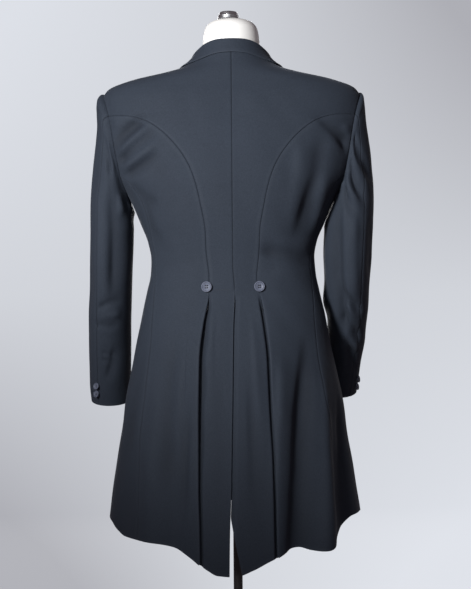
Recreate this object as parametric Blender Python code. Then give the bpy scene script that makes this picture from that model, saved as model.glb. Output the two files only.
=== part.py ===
"""Frock coat on a limbless dress form. Metres, +Z up; the front of the coat faces -Y and
the wearer's left is +X. Body and skirt are one surface of level sections; every cut piece
is a four-sided patch of it, worked out between its own seam lines and given a wall."""
import bpy
import numpy as np

# Driving sizes
CLOTH = 0.0020          # wall of every cloth piece
SEAM = 0.0003           # space left between neighbouring pieces
COAT_X = 0.005          # centre line of coat and form, from the pole
WAIST = 1.036           # top of vent and pleats
PLEAT_TOP = 1.000       # height under which the pleat layers run beneath one another
PLEAT_IN = 0.026        # how far the pleat returns under its fold
FOLD_R = 0.0026         # outer radius of a pleat fold
PLEAT_DROP = 0.0068     # how deep the back skirt lies under the pleat
VENT_DROP = 0.0037      # how deep the underlap lies at the centre back vent
FRONT_LAP = 0.020       # each front passes the centre front by this much
FRONT_DROP = 0.0037     # how deep the right front lies under the left one
BREAK = 1.130           # foot of the lapel roll line
ARM_Z, ARM_HALF, ARM_DEEP = 1.3175, 0.1055, 0.058   # armhole centre, half height, half depth
BACK_SEAM_Z, SIDE_SEAM_Z = 1.3745, 1.259             # where the two seams reach the armhole
POLE_R = 0.0088
BASE_R, BASE_T = 0.190, 0.013

# Level sections: height, half width, depth of the back, depth of the front, roundness
SECTION = np.array([
    (0.480, 0.2620, 0.2440, 0.196, 2.10), (0.603, 0.2438, 0.2130, 0.176, 2.10),
    (0.650, 0.2370, 0.2000, 0.168, 2.10), (0.712, 0.2280, 0.1830, 0.158, 2.12),
    (0.775, 0.2184, 0.1660, 0.149, 2.14), (0.822, 0.2126, 0.1540, 0.142, 2.16),
    (0.900, 0.1965, 0.1340, 0.130, 2.20), (0.993, 0.1775, 0.1080, 0.115, 2.30),
    (1.040, 0.1667, 0.0975, 0.110, 2.35), (1.071, 0.1600, 0.0962, 0.107, 2.40),
    (1.102, 0.1580, 0.0980, 0.105, 2.40), (1.134, 0.1638, 0.1030, 0.109, 2.40),
    (1.165, 0.1765, 0.1085, 0.115, 2.40), (1.212, 0.1970, 0.1155, 0.121, 2.40),
    (1.260, 0.2260, 0.1190, 0.125, 2.40), (1.300, 0.2410, 0.1190, 0.118, 2.40),
    (1.340, 0.2500, 0.1140, 0.107, 2.40), (1.380, 0.2540, 0.1040, 0.094, 2.40),
    (1.410, 0.2520, 0.0950, 0.083, 2.40), (1.423, 0.2460, 0.0900, 0.078, 2.40),
    (1.430, 0.2400, 0.0870, 0.075, 2.38), (1.4456, 0.200, 0.0820, 0.070, 2.34),
    (1.461, 0.1316, 0.0775, 0.065, 2.25), (1.468, 0.1060, 0.0750, 0.062, 2.20),
    (1.477, 0.0880, 0.0715, 0.060, 2.15), (1.492, 0.0730, 0.0670, 0.058, 2.10),
    (1.508, 0.0640, 0.0640, 0.056, 2.10), (1.535, 0.0600, 0.0612, 0.055, 2.10)])

# Seam lines as height, distance from the centre line
PLEAT = {1: [(0.480, 0.0624), (0.602, 0.0632), (0.670, 0.0652), (0.740, 0.065), (0.830, 0.064),
             (0.914, 0.0625), (0.975, 0.0556), (1.033, 0.0454)],
         -1: [(0.480, 0.0763), (0.602, 0.0755), (0.670, 0.0748), (0.740, 0.0735), (0.830, 0.070),
              (0.914, 0.0670), (0.975, 0.0606), (1.033, 0.0508)]}
BACK_SEAM = [(1.062, 0.0450), (1.114, 0.0500), (1.152, 0.0515), (1.195, 0.0585), (1.238, 0.0680),
             (1.265, 0.0770), (1.290, 0.0900), (1.328, 0.1170), (1.356, 0.1480), (1.367, 0.1770),
             (1.3745, 0.2350)]
# Where the rows of the back start on the centre line, for each height of the curved seam
CENTRE_ROWS = [(1.036, 1.036), (1.200, 1.196), (1.290, 1.280), (1.328, 1.311), (1.356, 1.332),
               (1.367, 1.343), (1.3745, 1.3585)]
SIDE_SEAM = [(0.480, 0.182), (0.594, 0.178), (0.725, 0.178), (0.860, 0.166), (0.943, 0.157),
             (1.020, 0.153), (1.100, 0.149), (1.143, 0.157), (1.178, 0.164), (1.213, 0.176),
             (1.240, 0.193), (1.259, 0.207)]
VENT = [(0.480, 0.0110), (0.530, 0.0103), (0.610, 0.0087), (0.660, 0.0066), (0.760, 0.0045),
        (0.840, 0.0026), (0.910, 0.0013), (0.970, 0.0000), (1.036, -0.0030), (1.080, 0.0)]
UNDERLAP = [(0.480, -0.0190), (0.530, -0.0125), (0.575, -0.0030), (0.620, 0.0056),
            (0.680, 0.0150), (0.800, 0.0300), (1.036, 0.0350)]
RECESS = {1: [(0.480, 0.004), (0.600, 0.005), (0.720, 0.008), (0.860, 0.016), (0.960, 0.013),
              (1.036, 0.007)],
          -1: [(0.480, 0.004), (0.700, 0.004), (0.900, 0.005), (1.036, 0.005)]}

# Hem height by angle round from the centre back (degrees)
HEM = {1: [(-20, 0.530), (0, 0.5290), (8, 0.5312), (12, 0.5389), (18, 0.5535), (24, 0.5660),
           (30, 0.5758), (38, 0.5812), (48, 0.5829), (60, 0.5833), (68, 0.5908), (76, 0.6020),
           (90, 0.606), (140, 0.606), (200, 0.604)],
       -1: [(-20, 0.530), (0, 0.5294), (8, 0.5395), (16, 0.5539), (24, 0.5654), (32, 0.5742),
            (36, 0.5686), (42, 0.5643), (48, 0.5725), (54, 0.5853), (60, 0.6018), (68, 0.6150),
            (76, 0.6165), (90, 0.611), (140, 0.607), (200, 0.604)]}

# Large skirt folds: angle at the hem, angle at the top, half width, height, top of the fold
FOLDS = {1: [(29, 37, 6, -0.0075, 0.93), (42, 44, 7, 0.0060, 0.86), (63, 60, 9, -0.0050, 0.84),
             (112, 106, 9, 0.0070, 0.92), (131, 122, 8, -0.0060, 0.88), (150, 142, 9, 0.0050, 0.82)],
         -1: [(28, 40, 5.5, -0.0085, 0.97), (39, 47, 6.5, 0.0095, 0.95), (54, 57, 7, -0.0050, 0.86),
              (68, 66, 8, 0.0040, 0.80), (108, 103, 9, -0.0060, 0.90), (126, 118, 9, 0.0070, 0.86),
              (148, 140, 9, -0.0045, 0.80)]}

# Roll line and front neckline: height, angle round from the centre back
ROLL = [(1.130, 190.3), (1.200, 174.3), (1.270, 163.9), (1.340, 153.0), (1.400, 140.8),
        (1.440, 130.6), (1.460, 121.0), (1.474, 105.0), (1.480, 90.0)]
# Lapel outer edge: share of its length, distance from the centre line, height
LAPEL = [(0.0, -0.011, 1.137), (0.2, 0.050, 1.186), (0.4, 0.088, 1.238), (0.6, 0.114, 1.290),
         (0.8, 0.130, 1.340), (1.0, 0.138, 1.380)]
LAPEL_FOOT = {1: 1.134, -1: 1.192}
# Collar by share of half its length: neck seam angle and height, fold height, leaf edge angle and height
COLLAR = [(0.00, 0, 1.500, 1.5190, 0, 1.4925), (0.12, 22, 1.499, 1.5185, 22, 1.4905),
          (0.28, 50, 1.493, 1.5120, 50, 1.4785), (0.38, 68, 1.487, 1.5030, 67, 1.4705),
          (0.50, 90, 1.480, 1.4930, 88, 1.4665), (0.62, 107, 1.473, 1.4850, 106, 1.4590),
          (0.74, 121, 1.460, 1.4715, 115, 1.4490), (0.87, 131.5, 1.437, 1.4480, 120, 1.4340),
          (1.00, 138.5, 1.408, 1.4185, 124, 1.4160)]

# Sleeve path: height, centre across, centre in depth, half width, half depth
SLEEVE = {1: [(1.160, 0.2345, 0.000, 0.0425, 0.0600), (1.110, 0.2365, -0.003, 0.0420, 0.0600),
              (1.050, 0.2395, -0.012, 0.0415, 0.0590), (1.000, 0.2425, -0.027, 0.0423, 0.0575),
              (0.950, 0.2450, -0.048, 0.0420, 0.0550), (0.900, 0.2470, -0.070, 0.0414, 0.0530),
              (0.850, 0.2495, -0.092, 0.0410, 0.0510), (0.821, 0.2490, -0.105, 0.0400, 0.0500)],
          -1: [(1.160, 0.2265, 0.000, 0.0475, 0.0600), (1.110, 0.2240, -0.006, 0.0475, 0.0600),
               (1.050, 0.2235, -0.020, 0.0440, 0.0590), (1.000, 0.2260, -0.042, 0.0405, 0.0575),
               (0.950, 0.2262, -0.076, 0.0380, 0.0555), (0.900, 0.2205, -0.109, 0.0380, 0.0535),
               (0.850, 0.2145, -0.137, 0.0393, 0.0515), (0.832, 0.2120, -0.147, 0.0398, 0.0505)]}
# Outer line of the sleeve head by height
HEAD = {1: [(1.160, 0.2770), (1.210, 0.2765), (1.243, 0.2745), (1.274, 0.2710), (1.305, 0.2672),
            (1.336, 0.2632), (1.370, 0.2600), (1.400, 0.2610), (1.4145, 0.2598), (1.4195, 0.2550),
            (1.423, 0.2466)],
        -1: [(1.160, 0.2740), (1.210, 0.2748), (1.243, 0.2742), (1.274, 0.2715), (1.305, 0.2690),
             (1.336, 0.2650), (1.370, 0.2600), (1.398, 0.2570), (1.4145, 0.2545), (1.4195, 0.2520),
             (1.423, 0.2466)]}

# Dress form: height, half width, back depth, front depth
FORM = [(0.897, 0.120, 0.080, 0.084), (0.899, 0.145, 0.098, 0.102), (0.910, 0.157, 0.106, 0.110),
        (0.950, 0.160, 0.106, 0.108), (1.000, 0.153, 0.094, 0.100), (1.050, 0.142, 0.083, 0.094),
        (1.100, 0.137, 0.084, 0.092), (1.150, 0.146, 0.090, 0.098), (1.200, 0.160, 0.097, 0.106),
        (1.250, 0.172, 0.102, 0.110), (1.300, 0.180, 0.101, 0.104), (1.350, 0.182, 0.093, 0.090),
        (1.392, 0.178, 0.080, 0.076), (1.419, 0.167, 0.071, 0.066), (1.439, 0.150, 0.065, 0.060),
        (1.4535, 0.129, 0.062, 0.056), (1.4640, 0.104, 0.060, 0.054), (1.4735, 0.083, 0.058, 0.052),
        (1.4830, 0.068, 0.056, 0.051), (1.500, 0.0565, 0.053, 0.050),
        (1.530, 0.0545, 0.052, 0.051), (1.548, 0.0510, 0.050, 0.049), (1.557, 0.0450, 0.044, 0.043),
        (1.5632, 0.0345, 0.034, 0.033), (1.5660, 0.0240, 0.0235, 0.023)]

CELLS_SKIRT, CELLS_WAIST, CELLS_BODY, CELLS_ARM, CELLS_SHOULDER = 9, 2, 11, 3, 5
CELLS_SIDE, CELLS_FRONT_ARM = 8, 14


def curve(rows, column=1):
    """Smooth line through a table's rows that never swings past them."""
    rows = np.asarray(rows, float)
    xs, ys = rows[:, 0], rows[:, column]
    h = np.diff(xs)
    d = np.diff(ys) / h
    m = np.empty_like(ys)
    m[0], m[-1] = d[0], d[-1]
    same = d[1:] * d[:-1] > 0
    w1, w2 = 2 * h[1:] + h[:-1], h[1:] + 2 * h[:-1]
    safe_a, safe_b = np.where(same, d[:-1], 1.0), np.where(same, d[1:], 1.0)
    m[1:-1] = np.where(same, (w1 + w2) / (w1 / safe_a + w2 / safe_b), 0.0)

    def at(x):
        x = np.clip(np.asarray(x, float), xs[0], xs[-1])
        i = np.clip(np.searchsorted(xs, x) - 1, 0, len(h) - 1)
        s = (x - xs[i]) / h[i]
        return (ys[i] * (1 + 2 * s) * (1 - s) ** 2 + m[i] * h[i] * s * (1 - s) ** 2
                + ys[i + 1] * s * s * (3 - 2 * s) + m[i + 1] * h[i] * s * s * (s - 1))
    return at


def ease(x):
    x = np.clip(x, 0.0, 1.0)
    return x * x * (3 - 2 * x)


HALF_WIDE, DEEP_BACK, DEEP_FRONT, ROUND = (curve(SECTION, c) for c in (1, 2, 3, 4))
_Z = np.linspace(SECTION[0, 0], SECTION[-1, 0], 3000)
_T = np.concatenate([[0], np.cumsum(np.hypot(np.diff(_Z), np.diff(HALF_WIDE(_Z))))])


def t_of(z):
    return np.interp(z, _Z, _T)


def z_of(t):
    return np.interp(t, _T, _Z)


def folds(side, ph, z):
    """Large skirt folds: soft ridges and troughs that grow from their top down to the hem."""
    deg, out = np.degrees(ph), 0.0
    for hem_at, top_at, wide, high, top in FOLDS[side]:
        k = np.clip((top - z) / (top - 0.575), 0, 1.15)
        mid = top_at + (hem_at - top_at) * k
        out = out + high * ease(k) * np.exp(-((deg - mid) / wide) ** 2)
    return out


def skin(side, ph, t):
    z = z_of(t)
    deep = np.where(np.cos(ph) >= 0, DEEP_BACK(z), DEEP_FRONT(z))
    n = ROUND(z)
    r = ((np.abs(np.sin(ph)) / HALF_WIDE(z)) ** n + (np.abs(np.cos(ph)) / deep) ** n) ** (-1 / n)
    r = r + folds(side, ph, z)
    return np.stack([COAT_X + side * r * np.sin(ph), r * np.cos(ph), z * np.ones_like(r)], -1)


def normal(side, ph, t, e=4e-4):
    du = skin(side, ph + e, t) - skin(side, ph - e, t)
    dv = skin(side, ph, t + e) - skin(side, ph, t - e)
    n = side * np.cross(dv, du)
    return n / np.linalg.norm(n, axis=-1, keepdims=True)


def place(side, ph, t, lift=0.0):
    lift = np.asarray(lift, float)
    return skin(side, ph, t) + normal(side, ph, t) * lift[..., None]


def angle(z, x, front=False):
    """Angle round the section at height z where it is x from the centre line."""
    a, n = HALF_WIDE(z), ROUND(z)
    deep = DEEP_FRONT(z) if front else DEEP_BACK(z)
    y = deep * (1 - np.clip(np.abs(x) / a, 0, 1) ** n) ** (1 / n)
    return np.mod(np.arctan2(x, -y), 2 * np.pi) if front else np.arctan2(x, y)


def pair(ph, z):
    return np.stack([ph, t_of(z)], -1)


def along(rows, low, marks, counts):
    """Heights and distances of a seam line: even steps of length between the marked heights."""
    rows = np.asarray(rows, float)
    z = np.linspace(low, rows[-1, 0], 1500)
    x = curve(rows)(z)
    run = np.concatenate([[0], np.cumsum(np.hypot(np.diff(z), np.diff(x)))])
    stops = np.interp([low, *marks], z, run)
    at = [np.linspace(a, b, n + 1)[:-1] for a, b, n in zip(stops, stops[1:], counts)]
    at = np.concatenate([*at, stops[-1:]])
    return np.interp(at, run, z), np.interp(at, run, x)


def hem_on(side, x_of, front=False):
    """Height where a seam line meets the hem."""
    z = 0.57
    for _ in range(12):
        ph = angle(z, x_of(z), front)
        z = float(curve(HEM[side])(np.degrees(ph)))
    return z


def hem_line(side, a, b, u):
    ph = a + (b - a) * u
    return pair(ph, curve(HEM[side])(np.degrees(ph)))


def armhole(side, beta):
    """Armhole edge by angle: 0 at the shoulder, a quarter turn at the back."""
    z = ARM_Z + ARM_HALF * np.cos(beta)
    y = ARM_DEEP * np.sin(beta)
    deep = np.where(y >= 0, DEEP_BACK(z), DEEP_FRONT(z))
    x = HALF_WIDE(z) * (1 - (np.abs(y) / deep) ** ROUND(z)) ** (1 / ROUND(z))
    return pair(np.arctan2(x, y), z)


def arm_angles():
    """Armhole samples shared by body and sleeve: back, side and front pieces in turn."""
    b1 = np.arccos((BACK_SEAM_Z - ARM_Z) / ARM_HALF)
    b2 = np.arccos((SIDE_SEAM_Z - ARM_Z) / ARM_HALF)
    return (np.linspace(0, b1, CELLS_ARM + 1), np.linspace(b1, b2, CELLS_SIDE + 1),
            np.linspace(b2, 2 * np.pi, CELLS_FRONT_ARM + 1))


def patch(left, right, low, high, u, fade_low, fade_high, bow=None):
    """Four-sided patch: rows from left to right edge, bent near the hem and the top edge;
    bow lifts a row early so that it runs in nearly level with its right end."""
    u = u[None, :, None]
    mix = (1 - u) * left[:, None] + u * right[:, None]
    if bow is not None:
        lifted = 1 - (1 - u[..., 0]) ** bow[:, None]
        mix[..., 1] = left[:, None, 1] + (right[:, None, 1] - left[:, None, 1]) * lifted
    flat_low = (1 - u[0]) * low[0] + u[0] * low[-1]
    flat_high = (1 - u[0]) * high[0] + u[0] * high[-1]
    return (mix + fade_low[:, None, None] * (low - flat_low)
            + fade_high[:, None, None] * (high - flat_high))


def relax(g, turns=500):
    """Even out a patch inside its fixed edges, so that no cell folds over."""
    x = g * np.array([0.18, 1.0])
    for _ in range(turns):
        across = (x[1:-1, 2:] - x[1:-1, :-2]) / 2
        upward = (x[2:, 1:-1] - x[:-2, 1:-1]) / 2
        skew = (x[2:, 2:] - x[2:, :-2] - x[:-2, 2:] + x[:-2, :-2]) / 4
        a = (upward ** 2).sum(-1, keepdims=True)
        b = (across * upward).sum(-1, keepdims=True)
        c = (across ** 2).sum(-1, keepdims=True)
        x[1:-1, 1:-1] = (a * (x[1:-1, 2:] + x[1:-1, :-2]) + c * (x[2:, 1:-1] + x[:-2, 1:-1])
                         - 2 * b * skew) / (2 * (a + c))
    return x / np.array([0.18, 1.0])


def back_edge(side):
    """Seam between back and side: pleat fold, then the curved seam up to the armhole."""
    rows = PLEAT[side] + BACK_SEAM
    low = hem_on(side, curve(rows))
    z, x = along(rows, low, [PLEAT_TOP, WAIST, BACK_SEAM_Z], [CELLS_SKIRT, CELLS_WAIST, CELLS_BODY])
    out = pair(angle(z, x), z)
    out[-1] = armhole(side, arm_angles()[0][-1])
    return out


def side_edge(side):
    low = hem_on(side, curve(SIDE_SEAM))
    z, x = along(SIDE_SEAM, low, [0.985, 1.030, SIDE_SEAM_Z], [CELLS_SKIRT, CELLS_WAIST, CELLS_BODY])
    out = pair(angle(z, x), z)
    out[-1] = armhole(side, arm_angles()[1][-1])
    return out


def shoulder_edge():
    share = np.linspace(0, 1, CELLS_SHOULDER + 1)
    share = share + 0.35 * share * (1 - share)
    z = z_of(t_of(ARM_Z + ARM_HALF) + (t_of(1.480) - t_of(ARM_Z + ARM_HALF)) * share)
    return pair(np.full_like(z, np.pi / 2), z)


def centre_edge(side):
    """Centre back: seam above the waist, vent edge below it."""
    n = [CELLS_SKIRT, CELLS_WAIST, CELLS_BODY, CELLS_ARM, CELLS_SHOULDER]
    marks = [0.531, PLEAT_TOP, WAIST, 1.352, 1.402, 1.500]
    z = np.concatenate([np.linspace(a, b, k + 1)[:-1] for a, b, k in zip(marks, marks[1:], n)] + [[1.5]])
    seam = z_of(back_edge(side)[:, 1])
    body = slice(n[0] + n[1], n[0] + n[1] + n[2] + 1)
    z[body] = curve(CENTRE_ROWS)(seam[body])
    x = curve(VENT)(z)
    if side < 0:
        x = np.where(z < WAIST, np.minimum(x - 0.0006, curve(UNDERLAP)(z)), x)
    ph = np.arctan2(side * x, DEEP_BACK(z))
    return pair(ph, z)


def tuck_back(side, g):
    """Depth of the back piece under the neighbouring folds, from its angle and height."""
    p = skin(side, g[..., 0], g[..., 1])
    x, z = side * (p[..., 0] - COAT_X), p[..., 2]
    fold = curve(PLEAT[side] + BACK_SEAM)(z)
    wide = curve(RECESS[side])(z) + 0.002
    deep = PLEAT_DROP * ease((WAIST - z) / (WAIST - PLEAT_TOP)) * (z < WAIST + 0.001)
    drop = deep * ease((x - fold + wide) / (wide - 0.0015))
    if side < 0:
        lap = side * curve(VENT)(z)
        down = VENT_DROP * ease((WAIST - z) / 0.022) * (0.35 + 0.65 * ease((z - 0.56) / 0.07))
        drop = drop + down * ease((lap + 0.011 - x) / 0.010) * (z < WAIST + 0.001)
    return -drop


def inset(outer, inner, cols=(), rows=()):
    """Draw an edge of a piece in by half the seam space, square to the edge."""
    for which, nxt, is_row in ([(c, c + 1 if c == 0 else c - 1, False) for c in cols]
                               + [(r, r - 1 if r < 0 else r + 1, True) for r in rows]):
        edge = outer[which] if is_row else outer[:, which]
        near = outer[nxt] if is_row else outer[:, nxt]
        tang = np.gradient(edge, axis=0)
        tang /= np.linalg.norm(tang, axis=1, keepdims=True)
        way = near - edge
        way -= tang * (way * tang).sum(1, keepdims=True)
        way *= 0.5 * SEAM / np.linalg.norm(way, axis=1, keepdims=True)
        for g in (outer, inner):
            if is_row:
                g[which] += way
            else:
                g[:, which] += way


def shell(name, outer, inner, color, mask=None, flip=False):
    """Closed wall between two grids of points, only where the mask keeps a cell."""
    r, c = outer.shape[:2]
    mask = np.ones((r - 1, c - 1), bool) if mask is None else mask
    idx = np.arange(r * c).reshape(r, c)
    faces = []
    i, j = np.nonzero(mask)
    top = np.stack([idx[i, j], idx[i, j + 1], idx[i + 1, j + 1], idx[i + 1, j]], 1)
    flat = outer.reshape(-1, 3)
    long_way = (np.linalg.norm(flat[top[:, 0]] - flat[top[:, 2]], axis=1)
                > np.linalg.norm(flat[top[:, 1]] - flat[top[:, 3]], axis=1))
    top = np.where(long_way[:, None], np.roll(top, -1, axis=1), top)
    top = np.concatenate([top[:, [0, 1, 2]], top[:, [0, 2, 3]]])
    faces += top.tolist()
    faces += (top[:, ::-1] + r * c).tolist()
    pad = np.pad(mask, 1)
    for di, dj, a, b in ((-1, 0, (0, 1), (0, 0)), (1, 0, (1, 0), (1, 1)),
                         (0, -1, (0, 0), (1, 0)), (0, 1, (1, 1), (0, 1))):
        free = mask & ~pad[1 + di:r + di, 1 + dj:c + dj]
        i, j = np.nonzero(free)
        p, q = idx[i + a[0], j + a[1]], idx[i + b[0], j + b[1]]
        faces += np.stack([p, q, q + r * c, p + r * c], 1).tolist()
    verts = np.concatenate([outer.reshape(-1, 3), inner.reshape(-1, 3)])
    faces = [f[::-1] for f in faces] if flip else faces
    return solid(name, verts, faces, color)


def solid(name, verts, faces, color, rough=0.85, metal=0.0, crisp=38.0):
    verts = np.asarray(verts, float)
    used = np.unique(np.concatenate([np.asarray(f) for f in faces]))
    index = np.full(len(verts), -1)
    index[used] = np.arange(len(used))
    mesh = bpy.data.meshes.new(name)
    mesh.from_pydata(verts[used].tolist(), [], [[int(index[k]) for k in f] for f in faces])
    mesh.validate()
    mesh.update()
    mesh.shade_smooth()
    mesh.set_sharp_from_angle(angle=np.radians(crisp))
    mat = bpy.data.materials.new(name)
    mat.use_nodes = True
    bsdf = mat.node_tree.nodes["Principled BSDF"]
    bsdf.inputs["Base Color"].default_value = (*color, 1.0)
    bsdf.inputs["Roughness"].default_value = rough
    bsdf.inputs["Metallic"].default_value = metal
    mesh.materials.append(mat)
    obj = bpy.data.objects.new(name, mesh)
    bpy.context.scene.collection.objects.link(obj)
    return obj


def back_piece(side, name):
    edge = back_edge(side)
    arm = armhole(side, arm_angles()[0][::-1])
    outer_edge = np.concatenate([edge, arm[1:], shoulder_edge()[1:]])
    mid = centre_edge(side)
    u = np.array([0, .09, .22, .37, .53, .67, .79, .88, .94, 1.0])
    low = hem_line(side, mid[0, 0], outer_edge[0, 0], u)
    low[0], low[-1] = mid[0], outer_edge[0]
    top = pair(mid[-1, 0] + (np.pi / 2 - mid[-1, 0]) * u, 1.500 - 0.020 * np.sin(np.pi / 2 * u) ** 2)
    z = z_of(mid[:, 1])
    bow = 1 + 2.2 * ease((z - 1.22) / 0.11) * ease((1.46 - z) / 0.08)
    g = patch(mid, outer_edge, low, top, u, ease((0.80 - z) / 0.27), ease((z - 1.40) / 0.10) ** 2, bow)
    lift = tuck_back(side, g)
    outer, inner = place(side, g[..., 0], g[..., 1], lift), place(side, g[..., 0], g[..., 1], lift - CLOTH)
    inset(outer, inner, cols=(0, len(u) - 1))
    rows = CELLS_SKIRT + 1
    strip_o, strip_i = [], []
    for d in (0.0015, 0.010, PLEAT_IN):
        way = skin(side, edge[:rows, 0] + 0.01, edge[:rows, 1]) - skin(side, edge[:rows, 0], edge[:rows, 1])
        ph = edge[:rows, 0] + 0.01 * d / np.linalg.norm(way, axis=1)
        strip_o.append(place(side, ph, edge[:rows, 1], np.full(rows, -PLEAT_DROP)))
        strip_i.append(place(side, ph, edge[:rows, 1], np.full(rows, -PLEAT_DROP - CLOTH)))
    full = outer.shape[0]
    outer, inner, mask = widen(outer, inner, strip_o, strip_i, rows, full, end=True)
    if side < 0:
        k = int(np.argmax(z > 0.66))
        n = CELLS_SKIRT + 1
        zz = z[k:n]
        lap_o, lap_i = [], []
        for f in (0.12, 0.55, 1.0):
            a, b = curve(VENT)(zz), curve(UNDERLAP)(zz)
            x = a + (b - a) * f
            ph, t = np.arctan2(-x, DEEP_BACK(zz)), t_of(zz)
            lap_o.append(place(side, ph, t, np.full(n - k, -VENT_DROP)))
            lap_i.append(place(side, ph, t, np.full(n - k, -VENT_DROP - CLOTH)))
        outer, inner, mask = widen(outer, inner, lap_o[::-1], lap_i[::-1], n, full, False, mask, k)
    return shell(name, outer, inner, (0.028, 0.034, 0.048), mask, flip=side > 0)


def widen(outer, inner, strip_o, strip_i, rows, full, end, mask=None, first=0):
    """Add columns that exist only for some rows, at the end or the start of a grid."""
    mask = np.ones((full - 1, outer.shape[1] - 1), bool) if mask is None else mask
    extra = np.zeros((full, len(strip_o), 3))
    extra_in = np.zeros_like(extra)
    extra[first:rows] = np.stack(strip_o, 1)
    extra_in[first:rows] = np.stack(strip_i, 1)
    keep = np.zeros((full - 1, len(strip_o)), bool)
    keep[first:rows - 1] = True
    order = (lambda a, b: np.concatenate([a, b] if end else [b, a], axis=1))
    return order(outer, extra), order(inner, extra_in), order(mask, keep)


def side_piece(side, name):
    left, right = back_edge(side), side_edge(side)
    u = np.array([0, .08, .19, .32, .46, .60, .74, .87, 1.0])
    low = hem_line(side, left[0, 0], right[0, 0], u)
    low[0], low[-1] = left[0], right[0]
    high = armhole(side, arm_angles()[1])
    z = z_of(right[:, 1])
    g = patch(left, right, low, high, u, ease((0.80 - z) / 0.21), ease((z - 1.08) / 0.179) ** 1.5)
    flat = np.zeros(g.shape[:2])
    outer, inner = place(side, g[..., 0], g[..., 1], flat), place(side, g[..., 0], g[..., 1], flat - CLOTH)
    inset(outer, inner, cols=(0, len(u) - 1))
    rows = CELLS_SKIRT + CELLS_WAIST
    ph0, t0 = left[:rows, 0], left[:rows, 1]
    way = skin(side, ph0 + 0.01, t0) - skin(side, ph0, t0)
    per = 0.01 / np.linalg.norm(way, axis=1)
    full = outer.shape[0]
    bend = np.radians([90, 45, 0, -45, -90])
    reach = [(FOLD_R * (1 - np.cos(b)), FOLD_R * np.sin(b), (FOLD_R - CLOTH) * np.sin(b),
              FOLD_R - (FOLD_R - CLOTH) * np.cos(b)) for b in bend]
    reach += [(d, -FOLD_R, -(FOLD_R - CLOTH), d) for d in (0.012, PLEAT_IN)]
    top_o = place(side, ph0 + per * reach[0][0], t0, np.zeros(rows))
    top_i = place(side, ph0 + per * reach[0][0], t0, np.full(rows, -CLOTH))
    outer[:rows, 0], inner[:rows, 0] = top_o, top_i
    so = [place(side, ph0 + per * d, t0, np.full(rows, h - FOLD_R)) for d, h, _, _ in reach[1:]]
    si = [place(side, ph0 + per * e, t0, np.full(rows, k - FOLD_R)) for _, _, k, e in reach[1:]]
    outer, inner, mask = widen(outer, inner, so[::-1], si[::-1], rows, full, end=False)
    return shell(name, outer, inner, (0.028, 0.034, 0.048), mask, flip=side > 0)


def front_edge(side):
    n = [CELLS_SKIRT, CELLS_WAIST, 3, CELLS_BODY - 3]
    low = float(curve(HEM[side])(184))
    z = np.concatenate([np.linspace(low, 0.985, n[0] + 1)[:-1], np.linspace(0.985, 1.03, n[1] + 1)[:-1],
                        np.linspace(1.03, BREAK, n[2] + 1)])
    edge = pair(angle(z, -FRONT_LAP + 0 * z, front=True), z)
    roll = curve(ROLL)
    zz = np.linspace(BREAK, 1.480, 900)
    p = skin(side, np.radians(roll(zz)), t_of(zz))
    run = np.concatenate([[0], np.cumsum(np.linalg.norm(np.diff(p, axis=0), axis=1))])
    zr = np.interp(np.linspace(0, run[-1], n[3] + 1)[1:], run, zz)
    return np.concatenate([edge, pair(np.radians(roll(zr)), zr)])


def tuck_front(side, ph, t):
    if side > 0:
        return np.zeros(np.broadcast(ph, t).shape)
    p = skin(side, ph, t)
    x, z = side * (p[..., 0] - COAT_X), p[..., 2]
    return -FRONT_DROP * ease((0.038 - x) / 0.013) * ease((1.205 - z) / 0.025) * (np.cos(ph) < 0)


def front_grid(side):
    left, right = side_edge(side), front_edge(side)
    high = np.concatenate([armhole(side, arm_angles()[2]), shoulder_edge()[1:]])
    p = skin(side, high[:, 0], high[:, 1])
    run = np.concatenate([[0], np.cumsum(np.linalg.norm(np.diff(p, axis=0), axis=1))])
    u = run / run[-1]
    low = hem_line(side, left[0, 0], right[0, 0], u)
    low[0], low[-1] = left[0], right[0]
    v = (left[:, 1] - left[0, 1]) / (left[-1, 1] - left[0, 1])
    return relax(patch(left, right, low, high, u, 1 - v, v)), u


def front_piece(side, name):
    g, u = front_grid(side)
    lift = tuck_front(side, g[..., 0], g[..., 1])
    outer, inner = place(side, g[..., 0], g[..., 1], lift), place(side, g[..., 0], g[..., 1], lift - CLOTH)
    inset(outer, inner, cols=(0,))
    inset(outer[:, CELLS_FRONT_ARM:], inner[:, CELLS_FRONT_ARM:], rows=(-1,))
    return shell(name, outer, inner, (0.028, 0.034, 0.048), flip=side > 0)


def lapel_piece(side, name):
    foot = LAPEL_FOOT[side]
    v = np.linspace(0, 1, 9)
    z0 = foot + (1.400 - foot) * v
    a = pair(np.radians(curve(ROLL)(z0) - 0.2), z0)
    share = (z0 - 1.134) / (1.400 - 1.134)
    x1, z1 = curve(LAPEL, 1)(share), curve(LAPEL, 2)(share)
    if side < 0:
        gap = ease(v / 0.35)
        x0 = side * (skin(side, a[:, 0], a[:, 1])[:, 0] - COAT_X)
        x1, z1 = x0 + 0.002 + (x1 - x0 - 0.002) * gap, z0 + (z1 - z0) * gap
    b = pair(angle(z1, x1, front=True), z1)
    u = np.array([0, 0.25, 0.5, 0.75, 1.0])[None, :, None]
    g = (1 - u) * a[:, None] + u * b[:, None]
    base = tuck_front(side, g[..., 0], g[..., 1])
    up = base + 0.0006 + 0.0012 * ease(u[..., 0] / 0.5)
    outer, inner = place(side, g[..., 0], g[..., 1], up + CLOTH), place(side, g[..., 0], g[..., 1], up)
    return shell(name, outer, inner, (0.028, 0.034, 0.048), flip=side < 0)


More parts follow.
